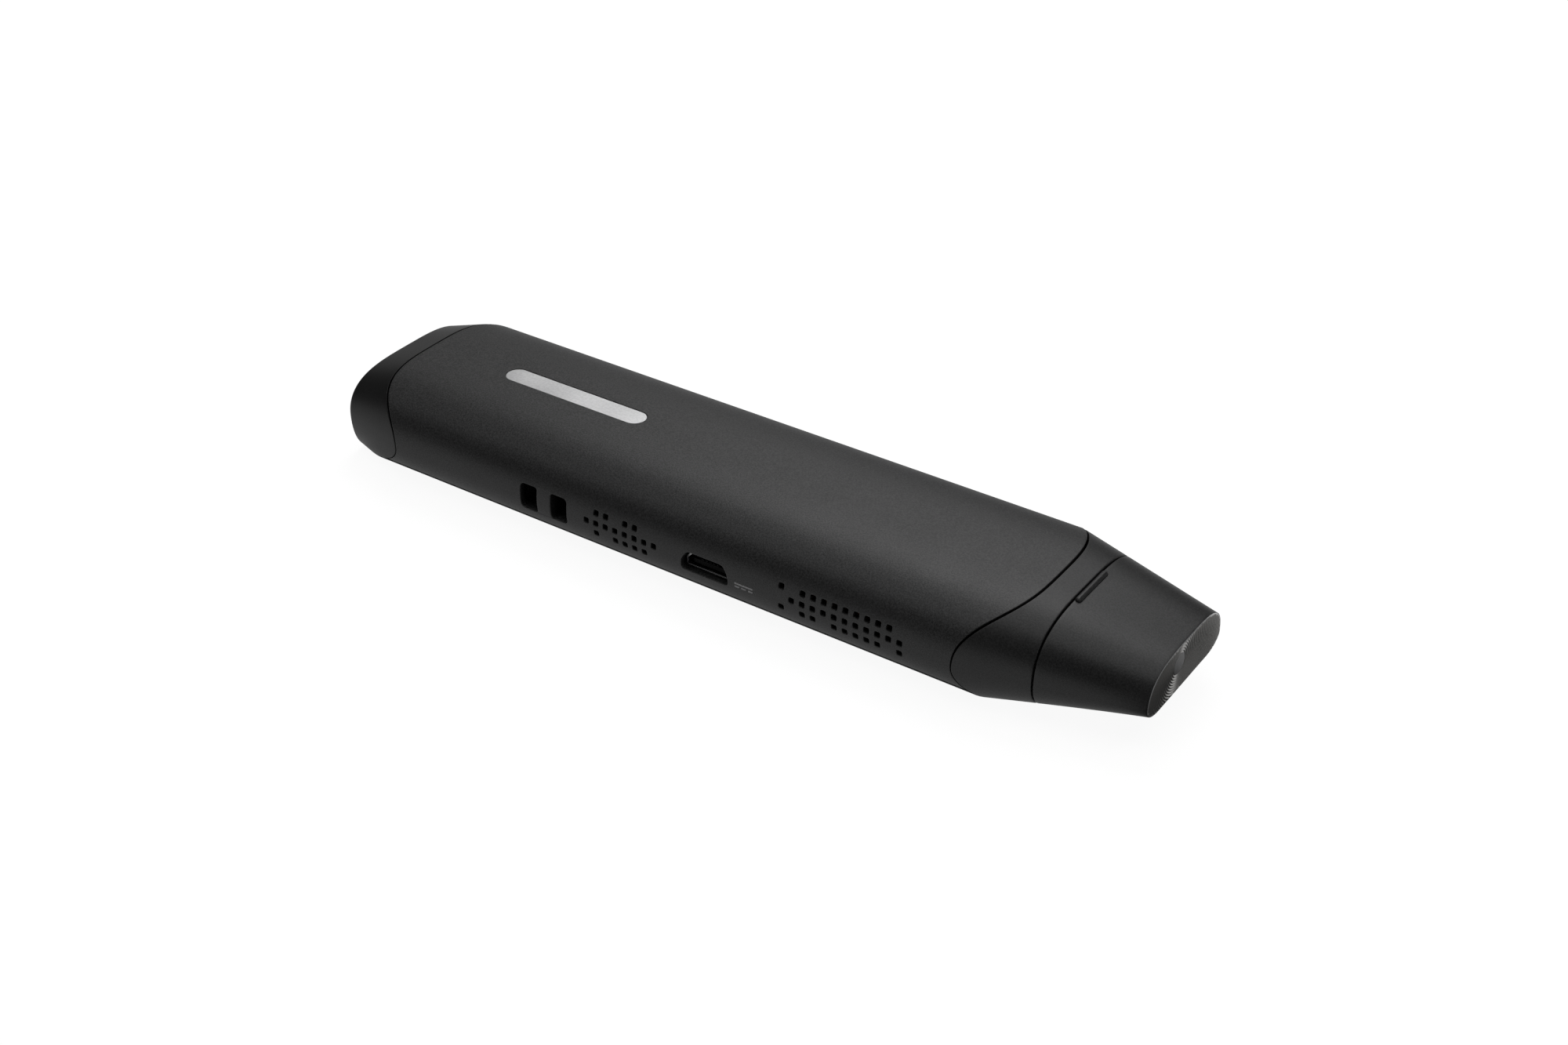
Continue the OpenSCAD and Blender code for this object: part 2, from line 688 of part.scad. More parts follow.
module fan_housing() {
    color("#2a2a2b") difference() {
        translate([fan_x, fan_y, 0])
            box([-1, 1] * fan_side / 2, [-1, 1] * fan_side / 2, [board_top, fan_top - fan_lid]);
        translate([fan_x, fan_y, fan_base]) cylinder(r = fan_bore, h = fan_h);
        translate([fan_x, fan_y, 0]) box([-1, 1] * fan_outlet_w / 2, [-fan_side, 0], [fan_base, body_h]);
        for (p = fan_corners) translate([p[0], p[1], 0]) cylinder(r = fan_screw_r + fit, h = body_h);
    }
}

module fan_cover() {
    color("#3d3d3f") difference() {
        translate([fan_x, fan_y, 0])
            box([-1, 1] * fan_side / 2, [-1, 1] * fan_side / 2, [fan_top - fan_lid, fan_top]);
        translate([fan_x, fan_y, 0]) cylinder(r = fan_inlet_r, h = body_h);
        for (p = fan_corners) translate([p[0], p[1], 0]) cylinder(r = fan_screw_r + fit, h = body_h);
    }
}

// The wheel turns on a shaft in a sleeve bearing, round the stator.
shaft_r = 0.75;
shaft_room = 0.04;
bearing_r = 1.6;
stator_r = 3.9;
stator_foot = 1;
stator_h = 1.7;
stator_lift = 0.5;
hub_r = 5;
hub_wall = 0.5;
hub_room = 0.4;
hub_top = fan_top - fan_lid - hub_room;
hub_cap = 0.6;
blade_t = 0.35;
blade_low = fan_base + hub_room;
blade_drop = 0.3;
blade_lean = 25;
bearing_room = 0.35;
bearing_top = hub_top - hub_cap - bearing_room;

module fan_bearing() {
    color("#b08d4a") translate([fan_x, fan_y, fan_base]) difference() {
        cylinder(r = bearing_r, h = bearing_top - fan_base);
        translate([0, 0, -eps]) cylinder(r = shaft_r + shaft_room, h = fan_h);
    }
}

module fan_stator() {
    color("#a85a2c") translate([fan_x, fan_y, fan_base]) difference() {
        union() {
            cylinder(r = bearing_r + stator_foot, h = stator_lift + stator_h);
            translate([0, 0, stator_lift]) cylinder(r = stator_r, h = stator_h);
        }
        translate([0, 0, -eps]) cylinder(r = bearing_r + screw_room, h = fan_h);
    }
}

module fan_rotor() {
    color("#1e1e20") translate([fan_x, fan_y, 0]) {
        difference() {
            translate([0, 0, blade_low]) cylinder(r = hub_r, h = hub_top - blade_low);
            translate([0, 0, blade_low - eps])
                cylinder(r = hub_r - hub_wall, h = hub_top - hub_cap - blade_low + eps);
        }
        for (i = [0 : rotor_blades - 1])
            rotate(i * 360 / rotor_blades) translate([hub_r - hub_wall / 2, 0, 0]) rotate(blade_lean)
                box([0, rotor_r - hub_r - hub_wall / 2], [-1, 1] * blade_t / 2,
                    [blade_low, hub_top - blade_drop]);
    }
}

module fan_shaft() {
    color("#c4c6c9") translate([fan_x, fan_y, fan_base + screw_room])
        cylinder(r = shaft_r, h = hub_top - hub_cap - fan_base - screw_room);
}

module fan_screws() {
    color("#8d8f92") for (p = fan_corners) translate([p[0], p[1], 0]) {
        translate([0, 0, board_z]) cylinder(r = fan_screw_r, h = fan_top - board_z);
        translate([0, 0, fan_top]) cylinder(r = fan_head_r, h = fan_head_h);
    }
}

module cold_plate_screws() {
    color("#8d8f92") for (p = cold_corners) translate([p[0], p[1], 0]) {
        translate([0, 0, board_z]) cylinder(r = cold_screw_r, h = pipe_z - board_z);
        translate([0, 0, pipe_z]) cylinder(r = cold_head_r, h = cold_head_h);
    }
}

module cover_screws() {
    color("#4a4a4c") for (p = posts) translate([p[0], p[1], fit]) {
        cylinder(r = screw_head_r, h = screw_head_h);
        cylinder(r = screw_r, h = board_top + screw_grip - fit);
    }
}

// Main board, from the receptacles' backs to the collar, with a notch for the strap pocket.
board_set = 2.6;
board_half = inner_y - board_set;
board_room = 0.4;
board_end = cap_x - wall - board_room;
board_cut = 2.2;
notch_room = 0.3;
module main_board() {
    notch_half = strap_len / 2 + pocket_wall + notch_room;
    color("#23543a") difference() {
        translate([0, 0, board_z]) linear_extrude(board_t)
            polygon([[port_back, -board_half], [board_end - board_cut, -board_half],
                     [board_end, -board_half + board_cut], [board_end, board_half - board_cut],
                     [board_end - board_cut, board_half], [port_back, board_half]]);
        translate([strap_x, 0, 0])
            box([-notch_half, notch_half], [-body_w, pocket_back + notch_room], [0, body_h]);
        for (p = posts) translate([p[0], p[1], 0]) cylinder(r = screw_r + 2 * fit, h = body_h);
        for (p = fan_corners) translate([p[0], p[1], 0])
            cylinder(r = fan_screw_r + screw_room, h = body_h);
        for (p = cold_corners) translate([p[0], p[1], 0])
            cylinder(r = cold_screw_r + screw_room, h = body_h);
    }
}

// Plug shell, its moulded core and its contacts.
core_gap = 0.05;
core_back = 0.4;
core_block = 6.8;
ledge_t = 0.7;
ledge_w = 10.4;
ledge_step = 1.2;
ledge_short = 0.9;
pin_pitch = 1;
pin_w = 0.42;
pin_t = 0.12;
top_pins = 10;
low_pins = 9;
plug_core = plug_x[0] + core_back + core_block;

module hdmi_shell() {
    color("#b9bbbe") difference() {
        along_x(plug_x) plug_outline(0);
        along_x([plug_x[0] - wall, plug_x[1] + wall]) plug_outline(-plug_wall);
    }
}

module hdmi_insulator() {
    color("#161616") {
        along_x([plug_x[0] + core_back, plug_core]) plug_outline(-plug_wall - core_gap);
        for (ledge = [[ledge_w - ledge_step, board_top + plug_wall + core_gap],
                      [ledge_w, board_top + plug_h - plug_wall - core_gap - ledge_t]])
            box([plug_core - eps, plug_x[1] - ledge_short], [-1, 1] * ledge[0] / 2,
                [ledge[1], ledge[1] + ledge_t]);
    }
}

module pin_row(count, z) {
    for (i = [0 : count - 1])
        translate([0, (i - (count - 1) / 2) * pin_pitch, 0])
            box([plug_core, plug_x[1] - ledge_short - fit], [-1, 1] * pin_w / 2, [z, z + pin_t]);
}

module hdmi_contacts() {
    low = board_top + plug_wall + core_gap + ledge_t;
    high = board_top + plug_h - plug_wall - core_gap - ledge_t - pin_t;
    color("#d8b45a") {
        pin_row(top_pins, high);
        pin_row(low_pins, low);
    }
}

// Rear receptacles: shell, moulded tongue and contacts.
port_block = 4.6;
port_slack = 0.05;
tongue_t = 1.84;
tongue_w = 11.1;
tongue_short = 1.6;
tongue_drop = 0.7;
lead_t = 0.15;
lead_w = 1;
lead_at = [-3.5, -1, 1, 3.5];
fast_at = [-4, -2, 0, 2, 4];
fast_len = 1.6;
tongue_high = port_z + port_open_h / 2 - tongue_drop;
tongue_low = tongue_high - tongue_t;

module port_shell(side) {
    color("#b4b6b9") translate([0, side * port_spacing / 2, port_z]) difference() {
        box([port_mouth, port_back], [-1, 1] * port_w / 2, [-1, 1] * port_h / 2);
        box([port_mouth - wall, port_back - port_wall], [-1, 1] * port_open_w / 2,
            [-1, 1] * port_open_h / 2);
    }
}

module port_tongue(side, tint) {
    color(tint) translate([0, side * port_spacing / 2, 0]) {
        translate([0, 0, port_z]) box([port_back - port_wall - port_block, port_back - port_wall],
            [-1, 1] * (port_open_w / 2 - port_slack), [-1, 1] * (port_open_h / 2 - port_slack));
        box([port_mouth + tongue_short, port_back - port_wall - port_block + eps], [-1, 1] * tongue_w / 2,
            [tongue_low, tongue_high]);
    }
}

module port_contacts(side, fast) {
    tip = port_mouth + tongue_short + fit;
    root = port_back - port_wall - port_block;
    color("#d8b45a") translate([0, side * port_spacing / 2, 0]) {
        for (y = lead_at) translate([0, y, 0])
            box([tip + (fast ? 2 * fast_len : 0), root], [-1, 1] * lead_w / 2,
                [tongue_low - lead_t, tongue_low]);
        if (fast) for (y = fast_at) translate([0, y, 0])
            box([tip, tip + fast_len], [-1, 1] * lead_w / 2, [tongue_low - lead_t, tongue_low]);
    }
}

module usb3_shell() { port_shell(-1); }
module usb3_tongue() { port_tongue(-1, "#2f6fc4"); }
module usb3_contacts() { port_contacts(-1, true); }
module usb2_shell() { port_shell(1); }
module usb2_tongue() { port_tongue(1, "#1a1a1a"); }
module usb2_contacts() { port_contacts(1, false); }

// Power inlet on the near side.
inlet_block = 1.8;
inlet_tongue_w = 5.6;
inlet_tongue_t = 0.7;
inlet_tongue_z = 0.5;
inlet_pins = 5;
inlet_pin_pitch = 0.65;
inlet_pin_w = 0.35;
inlet_pin_t = 0.1;
inlet_back = inlet_front + inlet_depth;
inlet_root = inlet_back - inlet_wall - inlet_block;
inlet_tongue_short = 0.4;

module inlet_shell() {
    color("#3d3d3f") translate([inlet_x, 0, board_top]) difference() {
        along_y([inlet_front, inlet_back]) inlet_outline(0);
        along_y([inlet_front - wall, inlet_back - inlet_wall]) inlet_outline(-inlet_wall);
    }
}

module inlet_tongue() {
    color("#151515") translate([inlet_x, 0, board_top]) {
        along_y([inlet_root, inlet_back - inlet_wall]) inlet_outline(-inlet_wall - port_slack);
        box([-1, 1] * inlet_tongue_w / 2, [inlet_front + inlet_tongue_short, inlet_root + eps],
            [inlet_tongue_z, inlet_tongue_z + inlet_tongue_t]);
    }
}

module inlet_contacts() {
    color("#d8b45a") translate([inlet_x, 0, board_top + inlet_tongue_z + inlet_tongue_t])
        for (i = [0 : inlet_pins - 1]) translate([(i - (inlet_pins - 1) / 2) * inlet_pin_pitch, 0, 0])
            box([-1, 1] * inlet_pin_w / 2, [inlet_front + inlet_tongue_short + fit, inlet_root],
                [0, inlet_pin_t]);
}

module audio_body() {
    color("#171718") difference() {
        translate([audio_x, 0, 0]) box([-1, 1] * audio_w / 2, [audio_face - audio_deep, audio_face],
                                       [board_top, board_top + audio_h]);
        translate([audio_x, 0, audio_z])
            rod_y(audio_bore / 2, [audio_face - audio_deep + wall, audio_face + wall]);
    }
}

module audio_ferrule() {
    color("#8f9194") translate([audio_x, 0, audio_z]) difference() {
        rod_y(ferrule_r, [audio_face, ferrule_end]);
        rod_y(audio_bore / 2, [audio_face - wall, ferrule_end + wall]);
    }
}

// Parts soldered to the board.
memory_w = 9;
memory_d = 9;
memory_h = 1;
memory_x = [-31.3, -21.2];
memory_pitch = 10;
memory_far = switch_face - switch_deep - fit - memory_d / 2;
memory_y = [memory_far - memory_pitch, memory_far];
memory_at = [for (x = memory_x) for (y = memory_y) [x, y]];
storage_size = [11.5, 13, 1];
storage_at = [-20, 0];
module chip(size, at, z) {
    translate([at[0] - size[0] / 2, at[1] - size[1] / 2, z]) cube(size);
}

module memory_chips() {
    color("#1c1c1e") for (p = memory_at) chip([memory_w, memory_d, memory_h], p, board_top);
}

module storage_chip() {
    color("#1c1c1e") chip(storage_size, storage_at, board_z - storage_size[2]);
}

radio_size = [12, 14, 2];
radio_from_port = 7.6;
radio_y = -5.9;
radio_at = [port_back + radio_from_port, radio_y];
antenna_size = [12, 5, 0.2];
antenna_gap = 0.05;
antenna_back = 8;
antenna_front = 2;
module wireless_module() {
    color("#b0b2b4") chip(radio_size, radio_at, board_top);
}

module antennas() {
    color("#c98b3d") for (x = [rear_post_x - antenna_back, front_post_x - antenna_front])
        chip(antenna_size, [x, 0], ceiling(antenna_size[1] / 2) - antenna_size[2] - antenna_gap);
}

power_size = [5, 5, 0.9];
supply_gap = 4.4;
supply_x = fan_x - fan_side / 2 - supply_gap;
crystal_size = [3.2, 2.5, 0.8];
crystal_y = board_half - crystal_size[1] / 2;
crystal_at = [supply_x, crystal_y];
power_step = 4;
power_y = crystal_y - power_step;
power_at = [supply_x, power_y];
coil_size = [4, 4, 2];
coil_pitch = 5.5;
coil_at = [for (i = [1, 2]) [supply_x, power_y - coil_pitch * i]];
cap_size = [1, 1.8, 0.9];
cap_count = 6;
cap_in = 11.2;
cap_first = [-14, chip_y - cap_in];
cap_pitch = 2;
plug_cap_pitch = 2.4;
plug_cap_back = 2;
cap_row = [for (i = [0 : cap_count - 1]) [cap_first[0] + cap_pitch * i, cap_first[1]]];
plug_caps = [for (i = [0 : cap_count - 1])
             [plug_x[0] - plug_cap_back, (i - (cap_count - 1) / 2) * plug_cap_pitch]];
module power_chip() {
    color("#1c1c1e") chip(power_size, power_at, board_top);
}

module inductors() {
    color("#4b4c4f") for (p = coil_at) chip(coil_size, p, board_top);
}

module capacitors() {
    color("#a98a63") for (p = concat(cap_row, plug_caps)) chip(cap_size, p, board_top);
}

module crystal() {
    color("#b9bbbd") chip(crystal_size, crystal_at, board_top);
}

upper_shell();
bottom_cover();
front_collar();
rear_bezel();
nameplate();
strap_pocket();
strap_bar();
cap_shell();
cap_end_plate();
cap_liner();
power_button();
switch_plunger();
switch_body();
light_pipe();
power_led();
main_board();
hdmi_shell();
hdmi_insulator();
hdmi_contacts();
usb3_shell();
usb3_tongue();
usb3_contacts();
usb2_shell();
usb2_tongue();
usb2_contacts();
inlet_shell();
inlet_tongue();
inlet_contacts();
audio_body();
audio_ferrule();
processor();
memory_chips();
storage_chip();
wireless_module();
antennas();
power_chip();
inductors();
capacitors();
crystal();
thermal_pad();
cold_plate();
heat_pipe();
fin_stack();
fan_housing();
fan_cover();
fan_stator();
fan_bearing();
fan_rotor();
fan_shaft();
fan_screws();
cold_plate_screws();
cover_screws();
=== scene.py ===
"""Looks of the stick computer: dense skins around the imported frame, procedural finishes and studio light."""

import json
import math
from collections import namedtuple

import bmesh
import bpy
from mathutils import Matrix, Vector


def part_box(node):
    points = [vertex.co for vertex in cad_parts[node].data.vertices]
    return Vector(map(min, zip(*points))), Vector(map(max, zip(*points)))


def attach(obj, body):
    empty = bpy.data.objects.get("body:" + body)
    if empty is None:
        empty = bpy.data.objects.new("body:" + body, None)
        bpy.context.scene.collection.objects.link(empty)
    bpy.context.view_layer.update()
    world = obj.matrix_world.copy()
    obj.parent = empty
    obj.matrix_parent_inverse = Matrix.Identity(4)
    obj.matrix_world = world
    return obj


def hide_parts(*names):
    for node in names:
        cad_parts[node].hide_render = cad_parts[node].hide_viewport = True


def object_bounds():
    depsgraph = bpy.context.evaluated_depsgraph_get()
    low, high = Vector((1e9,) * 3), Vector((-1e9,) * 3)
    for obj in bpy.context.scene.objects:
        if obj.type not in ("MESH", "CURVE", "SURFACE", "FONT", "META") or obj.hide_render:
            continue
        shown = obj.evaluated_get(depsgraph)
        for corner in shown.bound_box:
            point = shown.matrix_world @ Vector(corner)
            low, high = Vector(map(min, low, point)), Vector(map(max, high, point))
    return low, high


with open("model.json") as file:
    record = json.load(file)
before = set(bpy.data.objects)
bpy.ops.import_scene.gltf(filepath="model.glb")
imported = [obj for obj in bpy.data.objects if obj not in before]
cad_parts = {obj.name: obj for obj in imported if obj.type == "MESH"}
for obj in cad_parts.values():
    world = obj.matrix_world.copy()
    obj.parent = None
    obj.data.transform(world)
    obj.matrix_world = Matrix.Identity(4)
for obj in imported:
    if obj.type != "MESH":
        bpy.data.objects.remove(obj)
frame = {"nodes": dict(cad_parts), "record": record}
NODES = frame["nodes"]
CAD_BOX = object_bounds()

# Lengths of the object are in millimetres, as in the CAD source, and its meshes are made in metres.
MM = 0.001
HALF_LEN = CAD_BOX[1].x / MM
HALF_W = CAD_BOX[1].y / MM
BODY_H = CAD_BOX[1].z / MM

# Cross-section: an elliptical lower corner under a waist, a squarish dome above it.
Section = namedtuple("Section", "half corner bottom top")
WAIST = 6.36
CORNER = 6.5
SIDE_POWER = 3.5
CROWN_POWER = 2.42
WALL = 1.2
PRISM = Section(HALF_W, CORNER, 0.0, BODY_H)

# Tapers of the two ends: the section at the end, and how much it grows for each millimetre inwards.
TIP = Section(HALF_W - 6.01, 3.86, 4.23, BODY_H - 3.14)
TIP_DRAFT = Section(0.23, 0.0, -0.169, 0.164)
REAR = Section(HALF_W - 3.13, 2.68, 0.3, BODY_H - 2.01)
REAR_DRAFT = Section(0.2475, 0.0, -0.115, 0.317)
HALVINGS = 40

# Seams and edges. The cover's seam and gap are degrees on the lower corner.
CAP_LEN = 15.12
CAP_GAP = 0.26
SEAM_MIN = 0.13
SEAM_MAX = 0.34
SEAM_LOW = 5.5
SEAM_HIGH = 11.5
SEAM_SLANT = 2.2
COVER_SEAM = 34.5
COVER_GAP = 1.5
LIP = 0.1
EDGE = 0.14

# Openings of the near and the far side.
VENT_HOLE = 0.92
VENT_ROUND = 0.22
VENT_PITCH = 1.756
VENT_ROWS = 1.7
VENT_Z = 6.96
VENT_CELLS = 6
INTAKE_X = -18.8
OUTLET_X = 15.6
INTAKE_OPEN = ((1, 2, 4, 5), range(8), (1, 3, 4, 5, 6))
OUTLET_OPEN = ((0, *range(2, 11)), range(1, 12), (0, 2, 3, *range(5, 10), 11))
SIDE_Z = 6.8
STRAP_X = -26.95
STRAP_SIZE = (8.8, 4.3)
STRAP_ROUND = 0.7
INLET_X = 2.45
INLET_BASE = 5.4
INLET_SIZE = (7.5, 2.5)
INLET_TOP_W = 5.7
INLET_LOW = 1.3
INLET_MARGIN = 0.32
INLET_ROUND = 0.6
BUTTON_X = -21.0
BUTTON_SIZE = (7.3, 2.9)
LED_X = -12.5
LED_R = 0.8
AUDIO_X = -HALF_LEN + 22.0
AUDIO_Z = 7.6
AUDIO_R = 3.0
SCREW_R = 1.6
SCREW_HEAD_R = 1.5
INLAY_HALF_W = 1.8
INLAY_GAP = 0.06

# Ends.
PLUG_SIZE = (13.9, 4.45)
PLUG_LOW_W = 10.6
PLUG_LOW = 1.5
PLUG_GAP = 0.22
PORT_SIZE = (12.5, 5.12)
PORT_ROUND = 0.35
PORT_SPACING = 13.1
FACE_T = 1.0
END_WALL = 1.6
PLATE_T = 0.8
RING_CENTRE = (-2.2, 8.9)
RING_FIRST = 1.56
RING_STEP = 0.38
RING_DEPTH = 0.115
GROOVE_SHARE = 0.9
RING_HALF = RING_STEP * GROOVE_SHARE / 2


def section_flat(s):
    return s.half - s.corner


def half_width(z, s):
    """Half the width of a section at a height."""
    if z >= WAIST:
        rise = min((z - WAIST) / (s.top - WAIST), 1.0)
        return s.half * (1 - rise ** CROWN_POWER) ** (1 / SIDE_POWER)
    drop = min((WAIST - z) / (WAIST - s.bottom), 1.0)
    return section_flat(s) + s.corner * math.sqrt(1 - drop * drop)


def section_point(s, angle):
    """Point of a section: -90 is the right end of the flat bottom, 90 the crown, 270 the left end."""
    if angle > 90:
        y, z = section_point(s, 180 - angle)
        return -y, z
    a = math.radians(angle)
    if angle < 0:
        return section_flat(s) + s.corner * math.cos(a), WAIST + (WAIST - s.bottom) * math.sin(a)
    y = s.half * max(math.cos(a), 0.0) ** (2 / SIDE_POWER)
    return y, WAIST + (s.top - WAIST) * max(math.sin(a), 0.0) ** (2 / CROWN_POWER)


def inside(p, s):
    y, z = abs(p[0]), p[1]
    if z >= WAIST:
        return (y / s.half) ** SIDE_POWER + ((z - WAIST) / (s.top - WAIST)) ** CROWN_POWER <= 1
    if y > section_flat(s):
        return ((y - section_flat(s)) / s.corner) ** 2 + ((WAIST - z) / (WAIST - s.bottom)) ** 2 <= 1
    return z >= s.bottom


def inset(s, t):
    return Section(s.half - t, s.corner - t, s.bottom + t, s.top - t)


def carry(p, s, t):
    """The point of section t that matches point p of section s."""
    y, z = p
    if z >= WAIST:
        return y * t.half / s.half, WAIST + (z - WAIST) * (t.top - WAIST) / (s.top - WAIST)
    low = WAIST - (WAIST - z) * (WAIST - t.bottom) / (WAIST - s.bottom)
    if abs(y) > section_flat(s):
        return math.copysign(section_flat(t) + (abs(y) - section_flat(s)) * t.corner / s.corner, y), low
    return y * section_flat(t) / section_flat(s), low


def front(d):
    return Section(*(a + b * d for a, b in zip(TIP, TIP_DRAFT)))


def rear(d):
    return Section(*(a + b * d for a, b in zip(REAR, REAR_DRAFT)))


def reach(taper, p):
    """Distance from the end at which a taper meets a point of the prism."""
    lo, hi = 0.0, HALF_LEN
    for _ in range(HALVINGS):
        mid = (lo + hi) / 2
        lo, hi = (lo, mid) if inside(p, taper(mid)) else (mid, hi)
    return (lo + hi) / 2


def steps(a, b, pitch):
    """Evenly spaced values from a to b, both included, about a pitch apart."""
    n = max(1, round(abs(b - a) / pitch))
    return [a + (b - a) * i / n for i in range(n + 1)]


def joined(*runs):
    """Runs of values end to end, with each shared end kept once."""
    out = list(runs[0])
    for run in runs[1:]:
        out += run[1:]
    return out


def lerp(a, b, f):
    return tuple(p + (q - p) * f for p, q in zip(a, b))


NORMAL_WEIGHT = 50


class Skin:
    """Points and faces of one piece, in millimetres."""

    def __init__(self):
        self.points, self.faces, self.flats = [], [], []

    def row(self, points):
        start = len(self.points)
        self.points += [tuple(p) for p in points]
        return list(range(start, len(self.points)))

    def band(self, a, b):
        self.faces += zip(a, a[1:] + a[:1], b[1:] + b[:1], b)

    def tube(self, rings, closed=False):
        """Rings of points joined one to the next; returns the first and the last row."""
        rows = [self.row(r) for r in rings]
        for a, b in zip(rows, rows[1:]):
            self.band(a, b)
        if closed:
            self.band(rows[-1], rows[0])
        return rows[0], rows[-1]

    def fan(self, row, centre):
        mid = self.row([centre])[0]
        self.faces += [(a, b, mid) for a, b in zip(row, row[1:] + row[:1])]

    def fill(self, rows):
        """Fills a flat face that has an outline and holes, when the piece is made."""
        self.flats.append(rows)

    def mesh(self, name):
        mesh = bpy.data.meshes.new(name)
        mesh.from_pydata([tuple(c * MM for c in p) for p in self.points], [], self.faces)
        bm = bmesh.new()
        bm.from_mesh(mesh)
        bm.verts.ensure_lookup_table()
        for rows in self.flats:
            pairs = [pair for r in rows for pair in zip(r, r[1:] + r[:1])]
            edges = [bm.edges.get((bm.verts[i], bm.verts[j])) for i, j in pairs]
            bmesh.ops.triangle_fill(bm, use_beauty=True, edges=edges)
        bmesh.ops.delete(bm, geom=[v for v in bm.verts if not v.link_faces], context="VERTS")
        bmesh.ops.recalc_face_normals(bm, faces=bm.faces)
        bm.to_mesh(mesh)
        bm.free()
        return mesh

    def make(self, name, body, material, slot=None, replaces=(), smooth=True, extra=()):
        """The piece itself; extra lists more materials, each with the faces that take it."""
        mesh = self.mesh(name)
        piece = bpy.data.objects.new(name, mesh)
        bpy.context.scene.collection.objects.link(piece)
        mesh.materials.append(material)
        for other, faces in extra:
            mesh.materials.append(other)
            for i in faces:
                mesh.polygons[i].material_index = len(mesh.materials) - 1
        if smooth:
            mesh.shade_smooth()
            weigh = piece.modifiers.new("face_weights", "WEIGHTED_NORMAL")
            weigh.mode, weigh.weight, weigh.keep_sharp = "FACE_AREA", NORMAL_WEIGHT, True
        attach(piece, body)
        if replaces:
            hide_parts(*replaces)
        return piece


def rounding(outer, corner, inner, radius, cuts=3):
    """Rings that turn from an outer ring over a corner ring towards an inner ring."""
    out = []
    for k in range(cuts + 1):
        f = k / cuts
        ring = []
        for p, c, q in zip(outer, corner, inner):
            end = lerp(c, q, min(1.0, radius / (math.dist(c, q) or 1.0)))
            ring.append(lerp(lerp(p, c, f), lerp(c, end, f), f))
        out.append(ring)
    return out


# Limits below which a side counts as parallel to a ray, and by which a ray may pass a side's end.
PARALLEL = 1e-12
SLACK = 1e-9


def hit(outline, direction):
    """Where a ray from the origin leaves a closed outline."""
    dx, dv = direction
    for (ax, av), (bx, bv) in zip(outline, outline[1:] + outline[:1]):
        ex, ev = bx - ax, bv - av
        det = ex * dv - ev * dx
        if abs(det) < PARALLEL:
            continue
        across = (dx * av - dv * ax) / det
        along = (ex * av - ev * ax) / det
        if along > 0 and -SLACK <= across <= 1 + SLACK:
            return dx * along, dv * along
    raise ValueError("the ray misses the outline")


def arc(cx, cy, r, a0, a1, cuts=8):
    turns = [math.radians(a) for a in steps(a0, a1, (a1 - a0) / cuts)]
    return [(cx + r * math.cos(a), cy + r * math.sin(a)) for a in turns]


def circle(r, cuts):
    """A full circle about the origin, its first point given once."""
    return arc(0, 0, r, 0, 360 - 360 / cuts, cuts - 1)


def round_box(w, h, r):
    """Outline of a rounded rectangle about the origin, as a function of its margin."""
    def outline(m):
        x, y, q = w / 2 + m, h / 2 + m, r + m
        return (arc(x - q, y - q, q, 0, 90) + arc(q - x, y - q, q, 90, 180)
                + arc(q - x, q - y, q, 180, 270) + arc(x - q, q - y, q, 270, 360))
    return outline


DISC_CUTS = 48


def disc(r):
    """Outline of a round hole, as a function of its margin."""
    return lambda m: circle(r + m, DISC_CUTS)


def softened(outline, cut, cuts=6):
    """An outline whose corners are rounded off over a length of each side."""
    out = []
    for a, b, c in zip(outline[-1:] + outline[:-1], outline, outline[1:] + outline[:1]):
        before = lerp(b, a, min(0.5, cut / math.dist(a, b)))
        after = lerp(b, c, min(0.5, cut / math.dist(b, c)))
        out += [lerp(lerp(before, b, f), lerp(b, after, f), f) for f in steps(0, 1, 1 / cuts)]
    return out


def inlet_outline(m):
    """Opening in front of the power inlet, about the middle of its height."""
    grow = INLET_MARGIN + m
    mid = INLET_SIZE[1] / 2
    half, top = INLET_SIZE[0] / 2 + grow, INLET_TOP_W / 2 + grow
    corners = [(-half, -mid - grow), (half, -mid - grow), (half, INLET_LOW - mid), (top, mid + grow),
               (-top, mid + grow), (-half, INLET_LOW - mid)]
    return softened(corners, INLET_ROUND)


# Fractions of the way from a seam to the first straight column, and from a block's rim to its hole.
SEAM_EASE = (0.0, 0.03, 0.1, 0.25, 0.5)
HOLE_EASE = (0.45, 0.8, 1.0)
HOLE_MARGIN = 0.12
LEAD = len(SEAM_EASE)

# A hole in a sheet: its place and outline, the grid cells that it takes up, and the grid points around them.
Block = namedtuple("Block", "spot outline cells rim")


def block_around(spot, outline, rows, columns):
    xs, vs = zip(*outline(LIP))
    x0, x1 = min(xs) + spot[0] - HOLE_MARGIN, max(xs) + spot[0] + HOLE_MARGIN
    v0, v1 = min(vs) + spot[1] - HOLE_MARGIN, max(vs) + spot[1] + HOLE_MARGIN
    j0 = max(j for j, x in enumerate(columns) if x <= x0)
    j1 = min(j for j, x in enumerate(columns) if x >= x1)
    i0 = max(i for i, v in enumerate(rows) if v <= v0)
    i1 = min(i for i, v in enumerate(rows) if v >= v1)
    cells = [(i, j) for i in range(i0, i1) for j in range(j0, j1)]
    rim = ([(i0, j) for j in range(j0, j1)] + [(i, j1) for i in range(i0, i1)]
           + [(i1, j) for j in range(j1, j0, -1)] + [(i, j0) for i in range(i1, i0, -1)])
    return Block(spot, outline, cells, rim)


